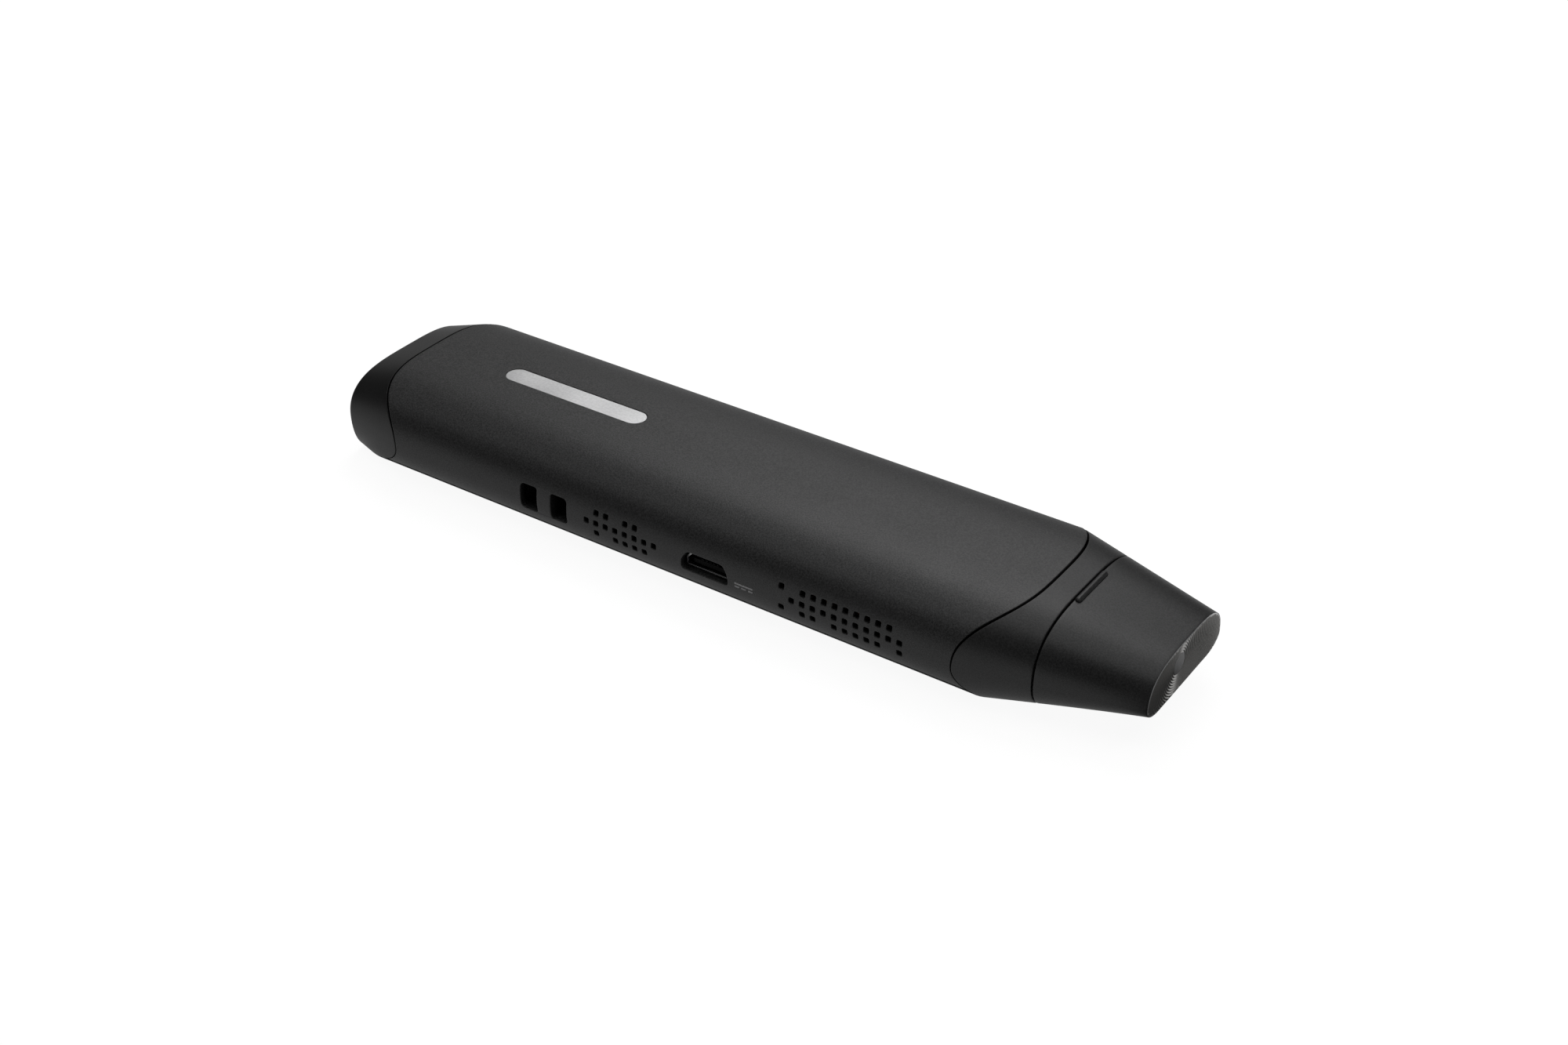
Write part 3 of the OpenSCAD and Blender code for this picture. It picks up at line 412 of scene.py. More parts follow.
def sheet_faces(count, wide, blocks):
    """Faces of a sheet of so many rows and columns, and the loops along its holes and its border."""
    covered = {(i, j + LEAD) for block in blocks for i, j in block.cells}
    corners = [i * wide + j for i in range(count - 1) for j in range(wide - 1) if (i, j) not in covered]
    faces = [(k, k + 1, k + wide + 1, k + wide) for k in corners]
    start = count * wide
    loops = []
    for block in blocks:
        previous = [i * wide + j + LEAD for i, j in block.rim]
        for _ in HOLE_EASE:
            current = list(range(start, start + len(previous)))
            start += len(previous)
            faces += zip(previous, previous[1:] + previous[:1], current[1:] + current[:1], current)
            previous = current
        loops.append(previous)
    last = (count - 1) * wide
    border = (list(range(wide - 1)) + [i * wide + wide - 1 for i in range(count - 1)]
              + [last + j for j in range(wide - 1, 0, -1)] + [i * wide for i in range(count - 1, 0, -1)])
    return faces, loops + [border[::-1]]


def sheet(rows, columns, low_x, high_x, profile, holes, wall):
    """A wall that follows a profile between two seams, with rounded edges and rounded holes.

    rows are values along the profile, columns are straight lines of x, low_x and high_x give the seams."""
    blocks = [block_around(spot, outline, rows, columns) for spot, outline in holes]

    def layout(lip):
        flat = []
        for i, v in enumerate(rows):
            v += lip if i == 0 else -lip if i == len(rows) - 1 else 0.0
            p = profile(v)
            lo, hi = low_x(p) + lip, high_x(p) - lip
            flat += [(lo + (columns[0] - lo) * f, v) for f in SEAM_EASE]
            flat += [(x, v) for x in columns]
            flat += [(hi + (columns[-1] - hi) * f, v) for f in reversed(SEAM_EASE)]
        for (cx, cv), outline, _, rim in blocks:
            shape = outline(lip)
            starts = [(columns[j] - cx, rows[i] - cv) for i, j in rim]
            ends = [hit(shape, p) for p in starts]
            for f in HOLE_EASE:
                ring = [lerp(a, b, f) for a, b in zip(starts, ends)]
                flat += [(cx + x, cv + v) for x, v in ring]
        return flat

    def lay(lip, depth):
        s = inset(PRISM, depth)
        return [(x, *carry(profile(v), PRISM, s)) for x, v in layout(lip)]

    outer, corner, inner = lay(LIP, 0.0), lay(0.0, 0.0), lay(0.0, wall)
    faces, loops = sheet_faces(len(rows), len(columns) + 2 * LEAD, blocks)
    skin = Skin()
    top, under = skin.row(outer), skin.row(inner)
    skin.faces += [tuple(top[k] for k in face) for face in faces]
    skin.faces += [tuple(under[k] for k in reversed(face)) for face in faces]
    for loop in loops:
        rings = rounding(*([points[k] for k in loop] for points in (outer, corner, inner)), LIP)
        previous = [top[k] for k in loop]
        for ring in rings[1:]:
            current = skin.row(ring)
            skin.band(previous, current)
            previous = current
        skin.band(previous, [under[k] for k in loop])
    return skin


# Finishes: each is a node material whose colour, roughness and relief follow a grain.
GRAIN_DETAIL = 3.0
GRAIN_SPAN = (0.35, 0.65)
BROAD_FACTOR = 30
BROAD_SPAN = (0.3, 0.7)
ROUGH_LEAST = 0.02


def shade(colour, k):
    return tuple(min(1.0, c * k) for c in colour) + (1.0,)


def finish(name, colour, rough, metallic=0.0, grain=4000.0, spread=(0.8, 1.25), rough_spread=0.06, bump=0.1,
           bump_size=0.00003, stretch=(1.0, 1.0, 1.0), **sockets):
    """A noise-grained material: a fine grain for colour and relief, a broad one for roughness."""
    m = bpy.data.materials.new(name)
    m.use_nodes = True
    tree = m.node_tree
    shader = tree.nodes["Principled BSDF"]
    shader.inputs["Metallic"].default_value = metallic
    for key, value in sockets.items():
        shader.inputs[key.replace("_", " ")].default_value = value
    place = tree.nodes.new("ShaderNodeTexCoord")
    scaled = tree.nodes.new("ShaderNodeMapping")
    scaled.inputs["Scale"].default_value = stretch
    tree.links.new(place.outputs["Object"], scaled.inputs["Vector"])
    noise = tree.nodes.new("ShaderNodeTexNoise")
    noise.inputs["Scale"].default_value = grain
    noise.inputs["Detail"].default_value = GRAIN_DETAIL
    tree.links.new(scaled.outputs["Vector"], noise.inputs["Vector"])
    ramp = tree.nodes.new("ShaderNodeValToRGB")
    for stop, position, k in zip(ramp.color_ramp.elements, GRAIN_SPAN, spread):
        stop.position = position
        stop.color = shade(colour, k)
    tree.links.new(noise.outputs["Fac"], ramp.inputs["Fac"])
    tree.links.new(ramp.outputs["Color"], shader.inputs["Base Color"])
    broad = tree.nodes.new("ShaderNodeTexNoise")
    broad.inputs["Scale"].default_value = grain / BROAD_FACTOR
    tree.links.new(place.outputs["Object"], broad.inputs["Vector"])
    span = tree.nodes.new("ShaderNodeMapRange")
    span.inputs["From Min"].default_value, span.inputs["From Max"].default_value = BROAD_SPAN
    span.inputs["To Min"].default_value = max(ROUGH_LEAST, rough - rough_spread)
    span.inputs["To Max"].default_value = min(1.0, rough + rough_spread)
    tree.links.new(broad.outputs["Fac"], span.inputs["Value"])
    tree.links.new(span.outputs["Result"], shader.inputs["Roughness"])
    relief = tree.nodes.new("ShaderNodeBump")
    relief.inputs["Strength"].default_value = bump
    relief.inputs["Distance"].default_value = bump_size
    tree.links.new(noise.outputs["Fac"], relief.inputs["Height"])
    tree.links.new(relief.outputs["Normal"], shader.inputs["Normal"])
    return m


SHELL = finish("soft_touch_shell", (0.021, 0.021, 0.0213), 0.46, grain=4600, spread=(0.22, 2.3), bump=0.6,
               rough_spread=0.012)
TRIM = finish("satin_trim", (0.0145, 0.0145, 0.0147), 0.42, grain=4200, spread=(0.35, 2.0), bump=0.45,
              rough_spread=0.012)
BEZEL = finish("rear_trim", (0.004, 0.004, 0.0041), 0.4, grain=4800, spread=(0.35, 2.0), bump=0.45,
               rough_spread=0.012, Specular_IOR_Level=0.26)
# The bottom cover is darker and less glossy than the shell, partly for its own black plastic and partly as
# painted shade, so that its strip under the near side's lower edge reads as a black shadow line.
COVER_AND_PAINTED_SHADE = finish("cover_plastic_and_painted_shade", (0.006, 0.006, 0.0062), 0.6, grain=4200, spread=(0.5, 1.6), bump=0.3,
               Specular_IOR_Level=0.12)
PLATE = finish("turned_metal", (0.012, 0.0118, 0.0115), 0.5, grain=6000, spread=(0.6, 1.5), bump=0.1,
               Specular_IOR_Level=0.1)
CUT = finish("cut_metal", (0.44, 0.433, 0.422), 0.3, 1.0, grain=6000, spread=(0.92, 1.05), bump=0.0,
             rough_spread=0.02)
SILVER = finish("satin_silver", (0.78, 0.78, 0.785), 0.36, 1.0, grain=2500, spread=(0.92, 1.06), bump=0.08)
PRINT = finish("grey_print", (0.85, 0.85, 0.855), 0.6, grain=5000, spread=(0.8, 1.15))
SLOT_FINISH = {
    "shell": SHELL,
    "trim": TRIM,
    "nameplate": SILVER,
    "turned_metal": PLATE,
    "liner": finish("liner_rubber", (0.03, 0.03, 0.031), 0.75, grain=2500, spread=(0.7, 1.3), bump=0.3),
    "button": TRIM,
    "plunger": finish("plunger_resin", (0.4, 0.13, 0.05), 0.45, grain=3000, spread=(0.85, 1.1)),
    "tin": finish("bright_tin", (0.62, 0.62, 0.63), 0.28, 1.0, grain=900, spread=(0.85, 1.08),
                  stretch=(0.1, 1, 1)),
    "dark_tin": finish("black_nickel", (0.07, 0.07, 0.072), 0.34, 1.0, grain=2500, spread=(0.8, 1.15)),
    "light_pipe": finish("clear_pipe", (0.78, 0.82, 0.86), 0.18, grain=1500, spread=(0.95, 1.02), bump=0.03,
                         Transmission_Weight=0.7),
    "led": finish("led_resin", (0.85, 0.8, 0.6), 0.25, grain=2500, spread=(0.9, 1.05)),
    "board": finish("solder_mask", (0.02, 0.1, 0.05), 0.35, grain=900, spread=(0.6, 1.5), bump=0.25),
    "black_resin": finish("black_resin", (0.012, 0.012, 0.0125), 0.42, grain=4000, spread=(0.7, 1.4)),
    "blue_resin": finish("blue_resin", (0.02, 0.13, 0.5), 0.38, grain=3500, spread=(0.85, 1.12)),
    "gold": finish("gold_flash", (0.85, 0.62, 0.25), 0.22, 1.0, grain=3000, spread=(0.9, 1.06)),
    "package": finish("chip_package", (0.018, 0.018, 0.019), 0.55, grain=5000, spread=(0.7, 1.5), bump=0.3),
    "copper": finish("copper", (0.5, 0.24, 0.13), 0.36, 1.0, grain=800, spread=(0.8, 1.1),
                     stretch=(0.12, 1, 1)),
    "pad": finish("thermal_pad", (0.28, 0.42, 0.55), 0.8, grain=2200, spread=(0.85, 1.12)),
    "ceramic": finish("ceramic", (0.38, 0.27, 0.15), 0.5, grain=3500, spread=(0.8, 1.15)),
    "ferrite": finish("ferrite", (0.08, 0.08, 0.085), 0.6, grain=4200, spread=(0.65, 1.4), bump=0.4),
    "fan_plastic": finish("fan_plastic", (0.014, 0.014, 0.015), 0.4, grain=4500, spread=(0.75, 1.3)),
    "bronze": finish("sintered_bronze", (0.48, 0.31, 0.13), 0.4, 1.0, grain=5000, spread=(0.7, 1.2),
                     bump=0.3),
    "screw": finish("black_zinc", (0.09, 0.09, 0.095), 0.32, 1.0, grain=2500, spread=(0.75, 1.2)),
}

# A few nodes differ from the other pieces of their slot.
NODE_FINISH = {
    "inlet_shell": finish("smoked_nickel", (0.3, 0.3, 0.305), 0.3, 1.0, grain=2500, spread=(0.85, 1.1)),
    "inlet_tongue": finish("matt_resin", (0.006, 0.006, 0.0062), 0.6, grain=4000, spread=(0.7, 1.4),
                           Specular_IOR_Level=0.12),
    "inlet_contacts": SLOT_FINISH["dark_tin"],
}

# Rounded edges of the frame nodes whose corners would be razor sharp.
NODE_EDGE = {
    "nameplate": 0.08, "power_button": 0.2, "hdmi_shell": 0.12, "hdmi_insulator": 0.08,
    "inlet_shell": 0.1, "inlet_tongue": 0.08, "usb3_shell": 0.08, "usb3_tongue": 0.15,
    "usb2_shell": 0.08, "usb2_tongue": 0.15, "audio_ferrule": 0.15, "light_pipe": 0.15,
    "cap_liner": 0.2, "cover_screws": 0.12, "strap_pocket": 0.1,
}
EDGE_ANGLE = math.radians(40)
EDGE_CUTS = 3


def dress(name, slot):
    """Gives a frame node its finish and its edges."""
    part = NODES[name]
    part.data.materials.clear()
    part.data.materials.append(NODE_FINISH.get(name, SLOT_FINISH[slot]))
    part.data.shade_smooth()
    if name in NODE_EDGE:
        bevel = part.modifiers.new("edge", "BEVEL")
        bevel.width = NODE_EDGE[name] * MM
        bevel.segments = EDGE_CUTS
        bevel.limit_method = "ANGLE"
        bevel.angle_limit = EDGE_ANGLE
        bevel.harden_normals = True
    else:
        split = part.modifiers.new("edge", "EDGE_SPLIT")
        split.split_angle = EDGE_ANGLE


# Upper shell. Its profile runs up the near side, over the crown and down the far side.
SIDE_TOP = 11.3
CROWN_MID = SIDE_TOP + half_width(SIDE_TOP, PRISM)
FOLD = 2 * CROWN_MID

# Its grid is fine at openings and bends, and coarse on plain stretches.
COARSE = 1.2
MEDIUM = 0.8
FINE = 0.3
FINER = 0.25
FINEST = 0.2
BEND_RUN = 3.0
INLAY_ROOM = 1.0
GRID_ENDS = (-54.0, 40.0)
AUDIO_SPAN = (-51.5, -42.5)
STRAP_START = -32.5
INLET_SPAN = (-2.5, 7.5)


def shell_profile(v):
    if v <= SIDE_TOP:
        return -half_width(v, PRISM), v
    if v >= FOLD - SIDE_TOP:
        return half_width(FOLD - v, PRISM), FOLD - v
    y = v - CROWN_MID
    return y, WAIST + (BODY_H - WAIST) * (1 - (abs(y) / HALF_W) ** SIDE_POWER) ** (1 / CROWN_POWER)


def rear_seam(p):
    return -HALF_LEN + reach(rear, p)


def front_seam(p):
    return HALF_LEN - reach(front, p)


def vents(x0, rows_open):
    return [((x0 + c * VENT_PITCH, VENT_Z + (1 - r) * VENT_ROWS), round_box(VENT_HOLE, VENT_HOLE, VENT_ROUND))
            for r, row in enumerate(rows_open) for c in row]


def cells(x0, rows_open):
    """Columns over a field of vents, each hole in a block of its own."""
    count = max(c for row in rows_open for c in row) + 1
    edge = x0 - VENT_PITCH / 2
    return steps(edge, edge + count * VENT_PITCH, VENT_PITCH / VENT_CELLS)


def shell_rows():
    low = WAIST * (1 - math.sin(math.radians(COVER_SEAM)))
    vent_low, vent_high = VENT_Z - 1.5 * VENT_ROWS, VENT_Z + 1.5 * VENT_ROWS
    side = joined(steps(low, vent_low, FINE), steps(vent_low, vent_high, VENT_ROWS / VENT_CELLS),
                  steps(vent_high, SIDE_TOP, FINE))
    near, far = SIDE_TOP + BEND_RUN, FOLD - SIDE_TOP - BEND_RUN
    inlay = (CROWN_MID - INLAY_HALF_W - INLAY_ROOM, CROWN_MID + INLAY_HALF_W + INLAY_ROOM)
    return joined(side, steps(SIDE_TOP, near, FINE), steps(near, inlay[0], MEDIUM), steps(*inlay, FINEST),
                  steps(inlay[1], far, MEDIUM), steps(far, FOLD - SIDE_TOP, FINE),
                  [FOLD - v for v in reversed(side)])


def shell_columns():
    intake, outlet = cells(INTAKE_X, INTAKE_OPEN), cells(OUTLET_X, OUTLET_OPEN)
    return joined(steps(GRID_ENDS[0], AUDIO_SPAN[0], COARSE), steps(*AUDIO_SPAN, FINE),
                  steps(AUDIO_SPAN[1], STRAP_START, COARSE), steps(STRAP_START, intake[0], FINER), intake,
                  steps(intake[-1], INLET_SPAN[0], MEDIUM), steps(*INLET_SPAN, FINEST),
                  steps(INLET_SPAN[1], outlet[0], COARSE), outlet, steps(outlet[-1], GRID_ENDS[1], COARSE))


def shell_holes():
    low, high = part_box("nameplate")
    half = INLAY_HALF_W + INLAY_GAP
    seat = round_box(high.x / MM - low.x / MM + 2 * INLAY_GAP, 2 * half, half)
    return vents(INTAKE_X, INTAKE_OPEN) + vents(OUTLET_X, OUTLET_OPEN) + [
        ((STRAP_X, SIDE_Z), round_box(*STRAP_SIZE, STRAP_ROUND)),
        ((INLET_X, INLET_BASE + INLET_SIZE[1] / 2), inlet_outline),
        ((BUTTON_X, FOLD - SIDE_Z), round_box(*BUTTON_SIZE, BUTTON_SIZE[1] / 2)),
        ((LED_X, FOLD - SIDE_Z), disc(LED_R)),
        ((AUDIO_X, FOLD - AUDIO_Z), disc(AUDIO_R)),
        (((low.x + high.x) / 2 / MM, CROWN_MID), seat),
    ]


def build_shell():
    skin = sheet(shell_rows(), shell_columns(), rear_seam, front_seam, shell_profile, shell_holes(), WALL)
    return skin.make("shell_skin", "chassis", SHELL, "shell", ["upper_shell"])


# Bottom cover. Its profile runs from the far edge to the near edge, and its grid is fine at bends and screws.
COVER_FLAT = 8.0
COVER_BEND_PITCH = 0.35
COVER_FLAT_PITCH = 1.6
COVER_END_PITCH = 1.5
COVER_MIDDLE_PITCH = 2.0
SCREW_PITCH = 0.4
SCREW_ROOM = 4.0
SCREW_END_ROOM = 2.8


def cover_profile(v):
    over = max(abs(v) - section_flat(PRISM), 0.0) / CORNER
    return -v, WAIST * (1 - math.sqrt(1 - over * over))


def build_cover():
    edge = section_flat(PRISM) + CORNER * math.cos(math.radians(COVER_SEAM + COVER_GAP))
    low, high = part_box("cover_screws")
    x0, x1 = low.x / MM + SCREW_HEAD_R, high.x / MM - SCREW_HEAD_R
    y = high.y / MM - SCREW_HEAD_R
    rows = joined(steps(-edge, -COVER_FLAT, COVER_BEND_PITCH),
                  steps(-COVER_FLAT, COVER_FLAT, COVER_FLAT_PITCH),
                  steps(COVER_FLAT, edge, COVER_BEND_PITCH))
    columns = joined(steps(GRID_ENDS[0], x0 - SCREW_ROOM, COVER_END_PITCH),
                     steps(x0 - SCREW_ROOM, x0 + SCREW_ROOM, SCREW_PITCH),
                     steps(x0 + SCREW_ROOM, x1 - SCREW_ROOM, COVER_MIDDLE_PITCH),
                     steps(x1 - SCREW_ROOM, x1 + SCREW_END_ROOM, SCREW_PITCH))
    holes = [((x, s * y), disc(SCREW_R)) for x in (x0, x1) for s in (-1, 1)]
    skin = sheet(rows, columns, rear_seam, front_seam, cover_profile, holes, WALL)
    return skin.make("cover_skin", "chassis", COVER_AND_PAINTED_SHADE, "trim", ["bottom_cover"])


# End mouldings: rings that follow the prism's outline and slide along a taper's lines.
RIM_STEP = 1.5
RIM_FLAT = 1.0
RIM_ANGLES = steps(-90, 270, RIM_STEP)
RIM = [section_point(PRISM, a) for a in RIM_ANGLES]
RIM += [(y, 0.0) for y in steps(-section_flat(PRISM), section_flat(PRISM), RIM_FLAT)[1:-1]]
FRONT_REACH = [reach(front, p) for p in RIM]
REAR_REACH = [reach(rear, p) for p in RIM]
SPAN_EASE = (0.0, 0.02, 0.08, 0.2, 0.4, 0.6, 0.8, 0.92, 0.98, 1.0)


def seam_widths(reaches):
    """Gap along x at each rim point, so that the open seam is widest over the crown and narrow underneath."""
    out = []
    for k, (_, z) in enumerate(RIM):
        a, b = k - 1, (k + 1) % len(RIM)
        run = math.dist(RIM[a], RIM[b])
        slant = math.hypot(run, reaches[b] - reaches[a]) / run
        rise = min(max((z - SEAM_LOW) / (SEAM_HIGH - SEAM_LOW), 0.0), 1.0)
        out.append((SEAM_MIN + (SEAM_MAX - SEAM_MIN) * rise) * min(slant, SEAM_SLANT))
    return out


FRONT_SEAM = seam_widths(FRONT_REACH)
REAR_SEAM = seam_widths(REAR_REACH)


def front_ring(d, t=0.0):
    return [(HALF_LEN - d, *carry(p, front(r), inset(front(d), t))) for p, r in zip(RIM, FRONT_REACH)]


def front_edge(gap, t=0.0):
    return [(HALF_LEN - r + g + gap, *carry(p, front(r), inset(front(r - g - gap), t)))
            for p, r, g in zip(RIM, FRONT_REACH, FRONT_SEAM)]


def rear_ring(d, t=0.0):
    return [(d - HALF_LEN, *carry(p, rear(r), inset(rear(d), t))) for p, r in zip(RIM, REAR_REACH)]


def rear_edge(gap, t=0.0):
    return [(r - g - gap - HALF_LEN, *carry(p, rear(r), inset(rear(r - g - gap), t)))
            for p, r, g in zip(RIM, REAR_REACH, REAR_SEAM)]


def ruled(a, b):
    """The rings between two rings, closer together near both."""
    return [[lerp(p, q, f) for p, q in zip(a, b)] for f in SPAN_EASE[1:-1]]


# Front collar, with the plug's opening in its face.
PLUG_LIP = (0.0, 0.6, 1.0)


def plug_outline(m):
    """Outline of the plug about the middle of its height."""
    low, high = -PLUG_SIZE[1] / 2 - m, PLUG_SIZE[1] / 2 + m
    shoulder = PLUG_LOW - PLUG_SIZE[1] / 2
    wide, narrow = PLUG_SIZE[0] / 2 + m, PLUG_LOW_W / 2 + m
    return [(-narrow, low), (narrow, low), (wide, shoulder), (wide, high), (-wide, high), (-wide, shoulder)]


def build_collar():
    face = CAP_LEN + CAP_GAP / 2
    floor = face + WALL
    low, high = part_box("hdmi_shell")
    plug_z = (low.z + high.z) / 2 / MM
    shell_side = rounding(front_edge(LIP), front_edge(0), front_edge(0, WALL), LIP)[::-1]
    cap_side = rounding(front_ring(face + EDGE), front_ring(face), front_ring(face, EDGE * 2), EDGE)

    def mouth(d, margin):
        """The face's last ring moved along rays from the plug's middle to the plug's outline."""
        outline = plug_outline(margin)
        spots = [hit(outline, (y, z - plug_z)) for _, y, z in cap_side[-1]]
        return [(HALF_LEN - d, y, z + plug_z) for y, z in spots]

    lips = [mouth(face + LIP * f, PLUG_GAP + LIP * (1 - f)) for f in PLUG_LIP]
    skin = Skin()
    skin.tube([front_edge(0, WALL)] + shell_side + ruled(shell_side[-1], cap_side[0]) + cap_side + lips
              + [mouth(floor, PLUG_GAP), front_ring(floor, WALL)], True)
    return skin.make("collar_skin", "chassis", TRIM, "trim", ["front_collar"])


# The cap's skin hides the plate's flank: it ends in a thin rim just behind the plate's face.
RIM_D = 0.1
RIM_W = 0.04
RIM_LIP = 0.04


def build_cap():
    open_d = CAP_LEN - CAP_GAP / 2
    open_side = rounding(front_ring(open_d - EDGE), front_ring(open_d), front_ring(open_d, WALL), EDGE)[::-1]
    rim = front_ring(RIM_D, RIM_W)
    end_side = rounding(front_ring(RIM_D + RIM_LIP), front_ring(RIM_D), rim, RIM_LIP)[:-1]
    end_side += [rim, front_ring(PLATE_T, RIM_W)]
    skin = Skin()
    first, last = skin.tube([front_ring(END_WALL, WALL), front_ring(open_d, WALL)] + open_side
                            + ruled(open_side[-1], end_side[0]) + end_side)
    skin.fan(first, (HALF_LEN - END_WALL, 0.0, WAIST))
    skin.fan(last, (HALF_LEN - PLATE_T, 0.0, WAIST))
    return skin.make("cap_skin", "cap", TRIM, "trim", ["cap_shell"])


# Thumb rib on the cap, a pill whose ends round off into the surface. Its sink and step are degrees.
RIB_LEN = 8.4
RIB_R = 0.5
RIB_PROUD = 0.42
RIB_OVER = 0.05
RIB_SINK = -25
RIB_STEP = 5


def build_rib():
    d = CAP_LEN - CAP_GAP / 2 - RIB_R + RIB_OVER
    x, z = HALF_LEN - d, front(d).top + RIB_PROUD - RIB_R
    around = arc(0, 0, 1, RIB_STEP / 2, 360 - RIB_STEP / 2, 360 // RIB_STEP - 1)
    rings = []
    for lift in steps(RIB_SINK, 90 - RIB_STEP, RIB_STEP):
        r, rise = RIB_R * math.cos(math.radians(lift)), RIB_R * math.sin(math.radians(lift))
        rings.append([(x + px * r, py * r + math.copysign(RIB_LEN / 2 - RIB_R, py), z + rise)
                      for px, py in around])
    skin = Skin()
    first, last = skin.tube(rings)
    skin.fan(first, (x, 0.0, rings[0][0][2]))
    skin.fan(last, (x, 0.0, z + RIB_R))
    return skin.make("cap_rib", "cap", TRIM, "trim")


# End plate: cut rings with dark lands about an off-centre point, a dark middle disc and a bright edge.
PLATE_CHAMFER = 0.14
PLATE_INSET = 0.02
PLATE_FACE = HALF_LEN - 0.03
PLATE_RAYS = 320


def plate_outline(t):
    """Outline of the plate about the rings' centre, set in from the cap's end."""
    points = [section_point(inset(front(0), t), a) for a in RIM_ANGLES]
    return [(y - RING_CENTRE[0], z - RING_CENTRE[1]) for y, z in points]


def plate_spot(x, p):
    return x, p[0] + RING_CENTRE[0], p[1] + RING_CENTRE[1]


def ring_profile(limit):
    """Radius and depth at each bend of the rings, from the middle disc out to a limit."""
    out = [(RING_FIRST / 2, 0.0)]
    for n in range(int((limit - RING_FIRST) / RING_STEP) + 1):
        start = RING_FIRST + n * RING_STEP
        out += [(start, 0.0), (start + RING_HALF, RING_DEPTH), (start + 2 * RING_HALF, 0.0)]
    return out


def in_groove(r):
    return r > RING_FIRST and (r - RING_FIRST) / RING_STEP % 1 < GROOVE_SHARE


def plate_face(skin, rays, edge):
    """The plate's ringed face; returns its border and its bare and middle faces."""
    reaches = [math.hypot(*p) for p in edge]
    profile = ring_profile(max(reaches))
    border = skin.row([plate_spot(PLATE_FACE, p) for p in edge])
    columns, bare, middle = [], [], []
    for k, (ray, limit) in enumerate(zip(rays, reaches)):
        within = [(r, depth) for r, depth in profile if r < limit - RING_HALF / 2]
        points = skin.row([plate_spot(PLATE_FACE - depth, (ray[0] * r, ray[1] * r)) for r, depth in within])
        columns.append(points + [border[k]] * (len(profile) + 1 - len(points)))
    for a, b in zip(columns, columns[1:] + columns[:1]):
        for i, (r, _) in enumerate(profile):
            face = tuple(dict.fromkeys((a[i], a[i + 1], b[i + 1], b[i])))
            if len(face) > 2:
                if in_groove(r + RING_HALF / 2):
                    bare.append(len(skin.faces))
                elif r < RING_FIRST:
                    middle.append(len(skin.faces))
                skin.faces.append(face)
    middle += range(len(skin.faces), len(skin.faces) + PLATE_RAYS)
    skin.fan([c[0] for c in columns], plate_spot(PLATE_FACE, (0.0, 0.0)))
    return border, bare, middle


def build_end_plate():
    rays = circle(1, PLATE_RAYS)
    outline, chamfer = plate_outline(PLATE_INSET), plate_outline(PLATE_INSET + PLATE_CHAMFER)
    skin = Skin()
    border, bare, middle = plate_face(skin, rays, [hit(chamfer, r) for r in rays])
    rim = [hit(outline, r) for r in rays]
    shoulder = skin.row([plate_spot(HALF_LEN - PLATE_CHAMFER, p) for p in rim])
    base = skin.row([plate_spot(HALF_LEN - PLATE_T, p) for p in rim])
    bright_edge = range(len(skin.faces), len(skin.faces) + PLATE_RAYS)
    skin.band(border, shoulder)
    skin.band(shoulder, base)
    skin.fan(base, plate_spot(HALF_LEN - PLATE_T, (0.0, 0.0)))
    return skin.make("end_plate_skin", "cap", PLATE, "turned_metal", ["cap_end_plate"], False,
                     [(CUT, bare), (SLOT_FINISH["dark_tin"], middle), (SILVER, bright_edge)])


# Rear bezel. The lip of each mouth is given as its sink and its growth, in shares of a lip.
BEZEL_EDGE = 2 * EDGE
BEZEL_CUTS = 4
MOUTH_LIP = ((0.0, 1.0), (0.4, 0.4), (1.0, 0.0))


def build_bezel():
    port = round_box(*PORT_SIZE, PORT_ROUND)
    shell_side = rounding(rear_edge(LIP), rear_edge(0), rear_edge(0, WALL), LIP)[::-1]
    end_side = rounding(rear_ring(BEZEL_EDGE), rear_ring(0), rear_ring(0, 2 * BEZEL_EDGE),
                        BEZEL_EDGE, BEZEL_CUTS)
    skin = Skin()
    inner, outer = skin.tube([rear_edge(0, WALL)] + shell_side
                             + ruled(shell_side[-1], end_side[0]) + end_side)
    floor = skin.row(rear_ring(FACE_T, WALL))
    skin.band(floor, inner)
    mouth = [(LIP * sink, LIP * grow) for sink, grow in MOUTH_LIP] + [(FACE_T, 0.0)]
    fronts, backs = [outer], [floor]
    for middle in (-PORT_SPACING / 2, PORT_SPACING / 2):
        first, last = skin.tube([[(-HALF_LEN + sink, y + middle, z + WAIST) for y, z in port(grow)]
                                 for sink, grow in mouth])
        fronts.append(first)
        backs.append(last)
    skin.fill(fronts)
    skin.fill(backs)
    return skin.make("bezel_skin", "chassis", BEZEL, "trim", ["rear_bezel"])


# Strap bar: a strut across the strap opening whose face follows the near side and whose ends flare.
BAR_SINK = 0.025
BAR_OVER = 0.05
BAR_FLARE = 0.5
BAR_TURN = ((0.0, 0.14), (0.03, 0.06), (0.1, 0.01), (0.25, 0.0))
BAR_FINE = 0.05
BAR_COARSE = 0.25


